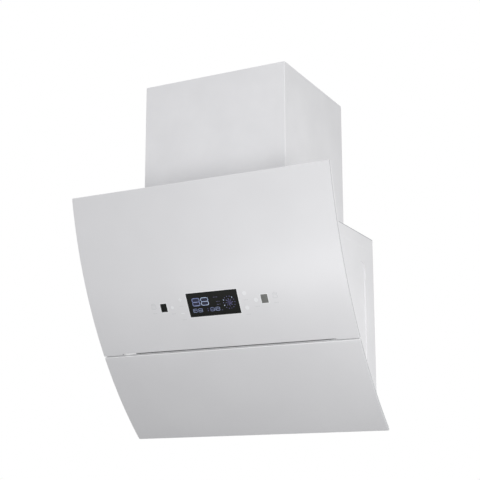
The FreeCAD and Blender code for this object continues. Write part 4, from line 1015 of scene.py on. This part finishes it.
def padOutline():
    # One corner pulled and spun round the outline: up the back, along the top, down the curve and back.
    nothingSelected()
    corner = pad["corner"]
    edge = housing["sideEdge"] - pad["inFromEdge"]
    x = housing["halfWidth"] - sheetSteel / 2
    topCentre = pad["top"] - corner
    lowCentre = pad["bottom"] + corner
    backCentre = pad["back"] - corner

    def cornerAngle(z):
        return math.asin((axisZ - z) / (edge - corner))

    def cornerY(z):
        return axisY - (edge - corner) * math.cos(cornerAngle(z))

    bpy.ops.mesh.primitive_plane_add(size=0.001, location=(x, pad["back"], lowCentre))
    piece = placeApplied("pad")
    openMesh(piece)
    bpy.ops.mesh.select_mode(type="VERT")   # a single point can only be selected in this mode
    bpy.ops.mesh.select_all(action="SELECT")
    bpy.ops.mesh.merge(type="CENTER")
    quarter = math.pi / 2
    pull = bpy.ops.mesh.extrude_region_move
    pull(TRANSFORM_OT_translate={"value": (0, 0, topCentre - lowCentre)})
    spun(quarter, (x, backCentre, topCentre), pad["backSteps"])
    pull(TRANSFORM_OT_translate={"value": (0, cornerY(topCentre) - backCentre, 0)})
    spun(quarter + cornerAngle(topCentre), (x, cornerY(topCentre), topCentre), pad["topSteps"])
    spun(cornerAngle(lowCentre) - cornerAngle(topCentre), frontAxis, pad["curveSteps"])
    spun(quarter - cornerAngle(lowCentre), (x, cornerY(lowCentre), lowCentre), pad["lowSteps"])
    pull(TRANSFORM_OT_translate={"value": (0, backCentre - cornerY(lowCentre), 0)})
    spun(quarter, (x, backCentre, lowCentre), pad["backSteps"])
    bpy.ops.mesh.select_all(action="SELECT")
    bpy.ops.mesh.remove_doubles(threshold=pad["samePoint"])
    bpy.ops.mesh.edge_face_add()
    rise = pad["height"] + sheetSteel / 2
    pull(TRANSFORM_OT_translate={"value": (rise, 0, 0)})
    crest = housing["halfWidth"] + pad["height"]
    pickParts(piece, "EDGE", lambda edge: all(abs(v.co.x - crest) < onLine for v in edge.verts))
    bpy.ops.mesh.bevel(offset=pad["shoulder"], segments=4, affect="EDGES")
    closeMesh()
    return mergedOutwards(piece)


def sidePanel(name):
    # A flat sheet trimmed to the curve and round the hinge, with the pad raised on it and the groove cut in.
    outer = housing["halfWidth"]
    inside = outer - sheetSteel
    x0 = inside - cutPast["side"]
    x1 = outer + cutPast["side"]
    panel = box(name, (inside, housing["blankFront"], housing["low"]), (outer, 0, housing["high"]))
    beyond = frontSlab("beyond", x0, x1, housing["sideEdge"], *housing["blankCut"])
    start, end = (frontPoint(x, housing["hingeRadius"], housing["hingeTravel"]) for x in (x0, x1))
    tip = frontSlab("tip", x0, x1, housing["frontOuter"], front["radius"], front["upperLength"],
                    housing["hingeTravel"])
    combined(panel, [beyond, rod("relief", housing["relief"], start, end), tip])
    combined(panel, [padOutline()], "UNION")
    slot = box("slot", (outer, groove["far"], groove["bottom"]), (x1, groove["near"], groove["top"]))
    openMesh(slot)
    pickParts(slot, "EDGE", lambda edge: runsAlong(edge, 0))
    corner = (groove["near"] - groove["far"]) * groove["cornerShare"]
    bpy.ops.mesh.bevel(offset=corner, segments=12, affect="EDGES")
    closeMesh()
    return mergedOutwards(combined(panel, [slot]))


def shadeLineBead(name):
    # The grey bead of painted shade on the right side, from the curved front edge to the wall.
    top = housing["high"] - shadeLine["down"]
    outer = housing["halfWidth"]
    frontY = axisY - math.sqrt(housing["sideEdge"] ** 2 - (axisZ - housing["high"]) ** 2)
    bead = box(name, (outer - shadeLine["depth"], frontY + shadeLine["fromFront"], top - shadeLine["width"]),
               (outer + shadeLine["proud"], -shadeLine["fromWall"], top))
    return roundedEdges(bead, shadeLine["edge"])


print("housing")
rightSide = sidePanel("rightSidePanel")
leftSide = mirrored(rightSide, "leftSidePanel")
for panel, node in ((rightSide, "right_side_panel"), (leftSide, "left_side_panel")):
    roundedEdges(panel, housing["edge"])
    finishPiece(panel, "housing", "white_steel", node)
# Painted shade along the top edge of both side panels.
bead = shadeLineBead("topShadeLine")
finishPiece(joined("topShadeLine", [bead, mirrored(bead, "bead")]), "housing", "rubber_mount",
            finish=extraFinishes["shadeLine"])

# Sheets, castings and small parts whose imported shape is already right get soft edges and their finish.
softPieces = {
    "top_panel": 0.0003, "back_panel": 0.0003, "bottom_panel": 0.0003, "front_panel": 0.0003,
    "panel_rail_left": 0.0003, "panel_rail_right": 0.0003, "control_cover": 0.0004, "hinge_brackets": 0.0003,
    "flap_lug_left": 0.0003, "flap_lug_right": 0.0003, "hinge_pins": 0.0003, "flap_sector": 0.0002,
    "motor_pinion": 0.0002, "flap_motor": 0.0008, "filter_frame": 0.0005, "filter_latch_left": 0.0004,
    "filter_latch_right": 0.0004, "chimney_screws": 0.0004, "duct_collar": 0.0005, "damper_left": 0.0003,
    "damper_right": 0.0003, "volute_shell": 0.0002, "volute_front": 0.0002, "volute_back": 0.0002,
    "inlet_ring": 0.0004, "fan_motor": 0.0025, "motor_shaft": 0.0004, "hub_nut": 0.0005, "wheel_ring": 0.0004,
    "blower_mounts": 0.0008, "blower_screws": 0.0004, "control_box": 0.0005, "control_box_lid": 0.0006,
    "capacitor": 0.0008, "cable_gland": 0.0006, "lamp_housings": 0.0006, "lamp_lenses": 0.0003,
    "oil_cup": 0.0006, "cup_holder": 0.0004, "drain_spout": 0.0005, "touch_board": 0.0001,
    "control_board": 0.0001, "display_module": 0.0004, "ir_sensors": 0.0004,
}
bodyOf = {node: body for body, nodes in frame["record"]["behaviour"]["bodies"].items() for node in nodes}
for node, width in softPieces.items():
    slotName = frame["nodes"][node].data.materials[0].name
    words = node.split("_")
    name = words[0] + "".join(word.title() for word in words[1:])
    finishPiece(softCopy(node, name, width), bodyOf[node], slotName, node)

for node in ("impeller", "filter_mesh", "display_lead", "motor_lead"):
    piece = frame["nodes"][node]
    slotName = piece.data.materials[0].name
    for slot in piece.material_slots:
        slot.material = finishes[slotName]

print("camera and light")
photo = {
    "size": 480,
    "azimuth": math.radians(27.43),
    "elevation": math.radians(-13.29),
    "focal": 1133.6,             # in pixels
    "centre": (238.78, 244.93),  # where the optical axis meets the picture
    "place": (1.1036, -2.3155, -0.4047),
    "sensor": 36.0,
}
cameraData = bpy.data.cameras.new("photoCamera")
cameraData.sensor_width = photo["sensor"]
cameraData.lens = photo["focal"] / photo["size"] * photo["sensor"]
cameraData.shift_x = (photo["size"] / 2 - photo["centre"][0]) / photo["size"]
cameraData.shift_y = (photo["centre"][1] - photo["size"] / 2) / photo["size"]
camera = bpy.data.objects.new("photoCamera", cameraData)
bpy.context.scene.collection.objects.link(camera)
camera.location = photo["place"]
camera.rotation_euler = (math.pi / 2 - photo["elevation"], 0, photo["azimuth"])
bpy.context.scene.camera = camera
bpy.context.scene.view_settings.view_transform = "Standard"

# The studio is a white tent with soft panels of light beyond it. The camera sees the tent pure white.
tent = {
    "colour": "#FDFDFF",
    "base": 0.23,
    # towards the panel, how narrow it is, and how strong
    "panels": {
        "ceiling": ((0.0, -0.2, 1.0), 1.0, 0.60),
        "facing": ((0.2, -1.0, 0.1), 2.0, 0.34),
        "wideGlint": ((-0.34, -0.80, -0.50), 16.0, 0.95),
        "glint": ((-0.370, -0.740, -0.560), 110.0, 1.5),
    },
}
world = bpy.data.worlds.new("studioTent")
bpy.context.scene.world = world
world.use_nodes = True
nodes = world.node_tree.nodes
links = world.node_tree.links
towards = addNode(world, "ShaderNodeTexCoord").outputs["Generated"]
total = tent["base"]
for direction, narrowness, strength in tent["panels"].values():
    facing = addNode(world, "ShaderNodeVectorMath", {"operation": "DOT_PRODUCT"},
                     {0: towards, 1: Vector(direction).normalized()})
    lit = addNode(world, "ShaderNodeMath", {"operation": "MAXIMUM"}, {0: facing.outputs["Value"], 1: 0.0})
    soft = addNode(world, "ShaderNodeMath", {"operation": "POWER"}, {0: lit.outputs["Value"], 1: narrowness})
    panel = addNode(world, "ShaderNodeMath", {"operation": "MULTIPLY_ADD"},
                    {0: soft.outputs["Value"], 1: strength, 2: total})
    total = panel.outputs["Value"]
glow = nodes["Background"]
glow.inputs["Color"].default_value = linear(tent["colour"])
links.new(total, glow.inputs["Strength"])
seen = addNode(world, "ShaderNodeBackground", {}, {"Color": (1, 1, 1, 1)})
path = addNode(world, "ShaderNodeLightPath")
choice = addNode(world, "ShaderNodeMixShader", {}, {
    "Fac": path.outputs["Is Camera Ray"], 1: glow.outputs["Background"], 2: seen.outputs["Background"]})
links.new(choice.outputs["Shader"], nodes["World Output"].inputs["Surface"])


def softbox(name, place, aim, size, power):
    # Diffused through the tent, so that its edges don't show in the glass.
    data = bpy.data.lights.new(name, "AREA")
    data.shape = "RECTANGLE"
    data.size, data.size_y = size
    data.energy = power
    lamp = bpy.data.objects.new(name, data)
    bpy.context.scene.collection.objects.link(lamp)
    lamp.location = place
    lamp.rotation_euler = (Vector(aim) - Vector(place)).to_track_quat("-Z", "Y").to_euler()
    lamp.visible_camera = False
    lamp.visible_glossy = False


# place, aim, width and height, and power in watts
softboxes = {
    "nearLight": ((1.15, -1.35, -0.20), (0.1, -0.3, 0.05), (0.9, 0.9), 9.4),
    "sideLight": ((1.7, -0.1, -0.25), (0.24, -0.1, 0.0), (1.0, 0.8), 9.8),
}
for name, settings in softboxes.items():
    softbox(name, *settings)

studioFloor = {"reach": 12, "low": -3.22, "top": -3.2, "edge": 0.005}
reach = studioFloor["reach"]
floor = box("floor", (-reach, -reach, studioFloor["low"]), (reach, reach, studioFloor["top"]))
roundedEdges(floor, studioFloor["edge"], 1)
floor.data.materials.append(powderCoat("paleFloor", "#DADCDD", "#E0E2E3", 0.7))
floor.visible_diffuse = False    # the tent's lower half lights the hood, not the floor far below it
floor.visible_glossy = False
floor.visible_shadow = False
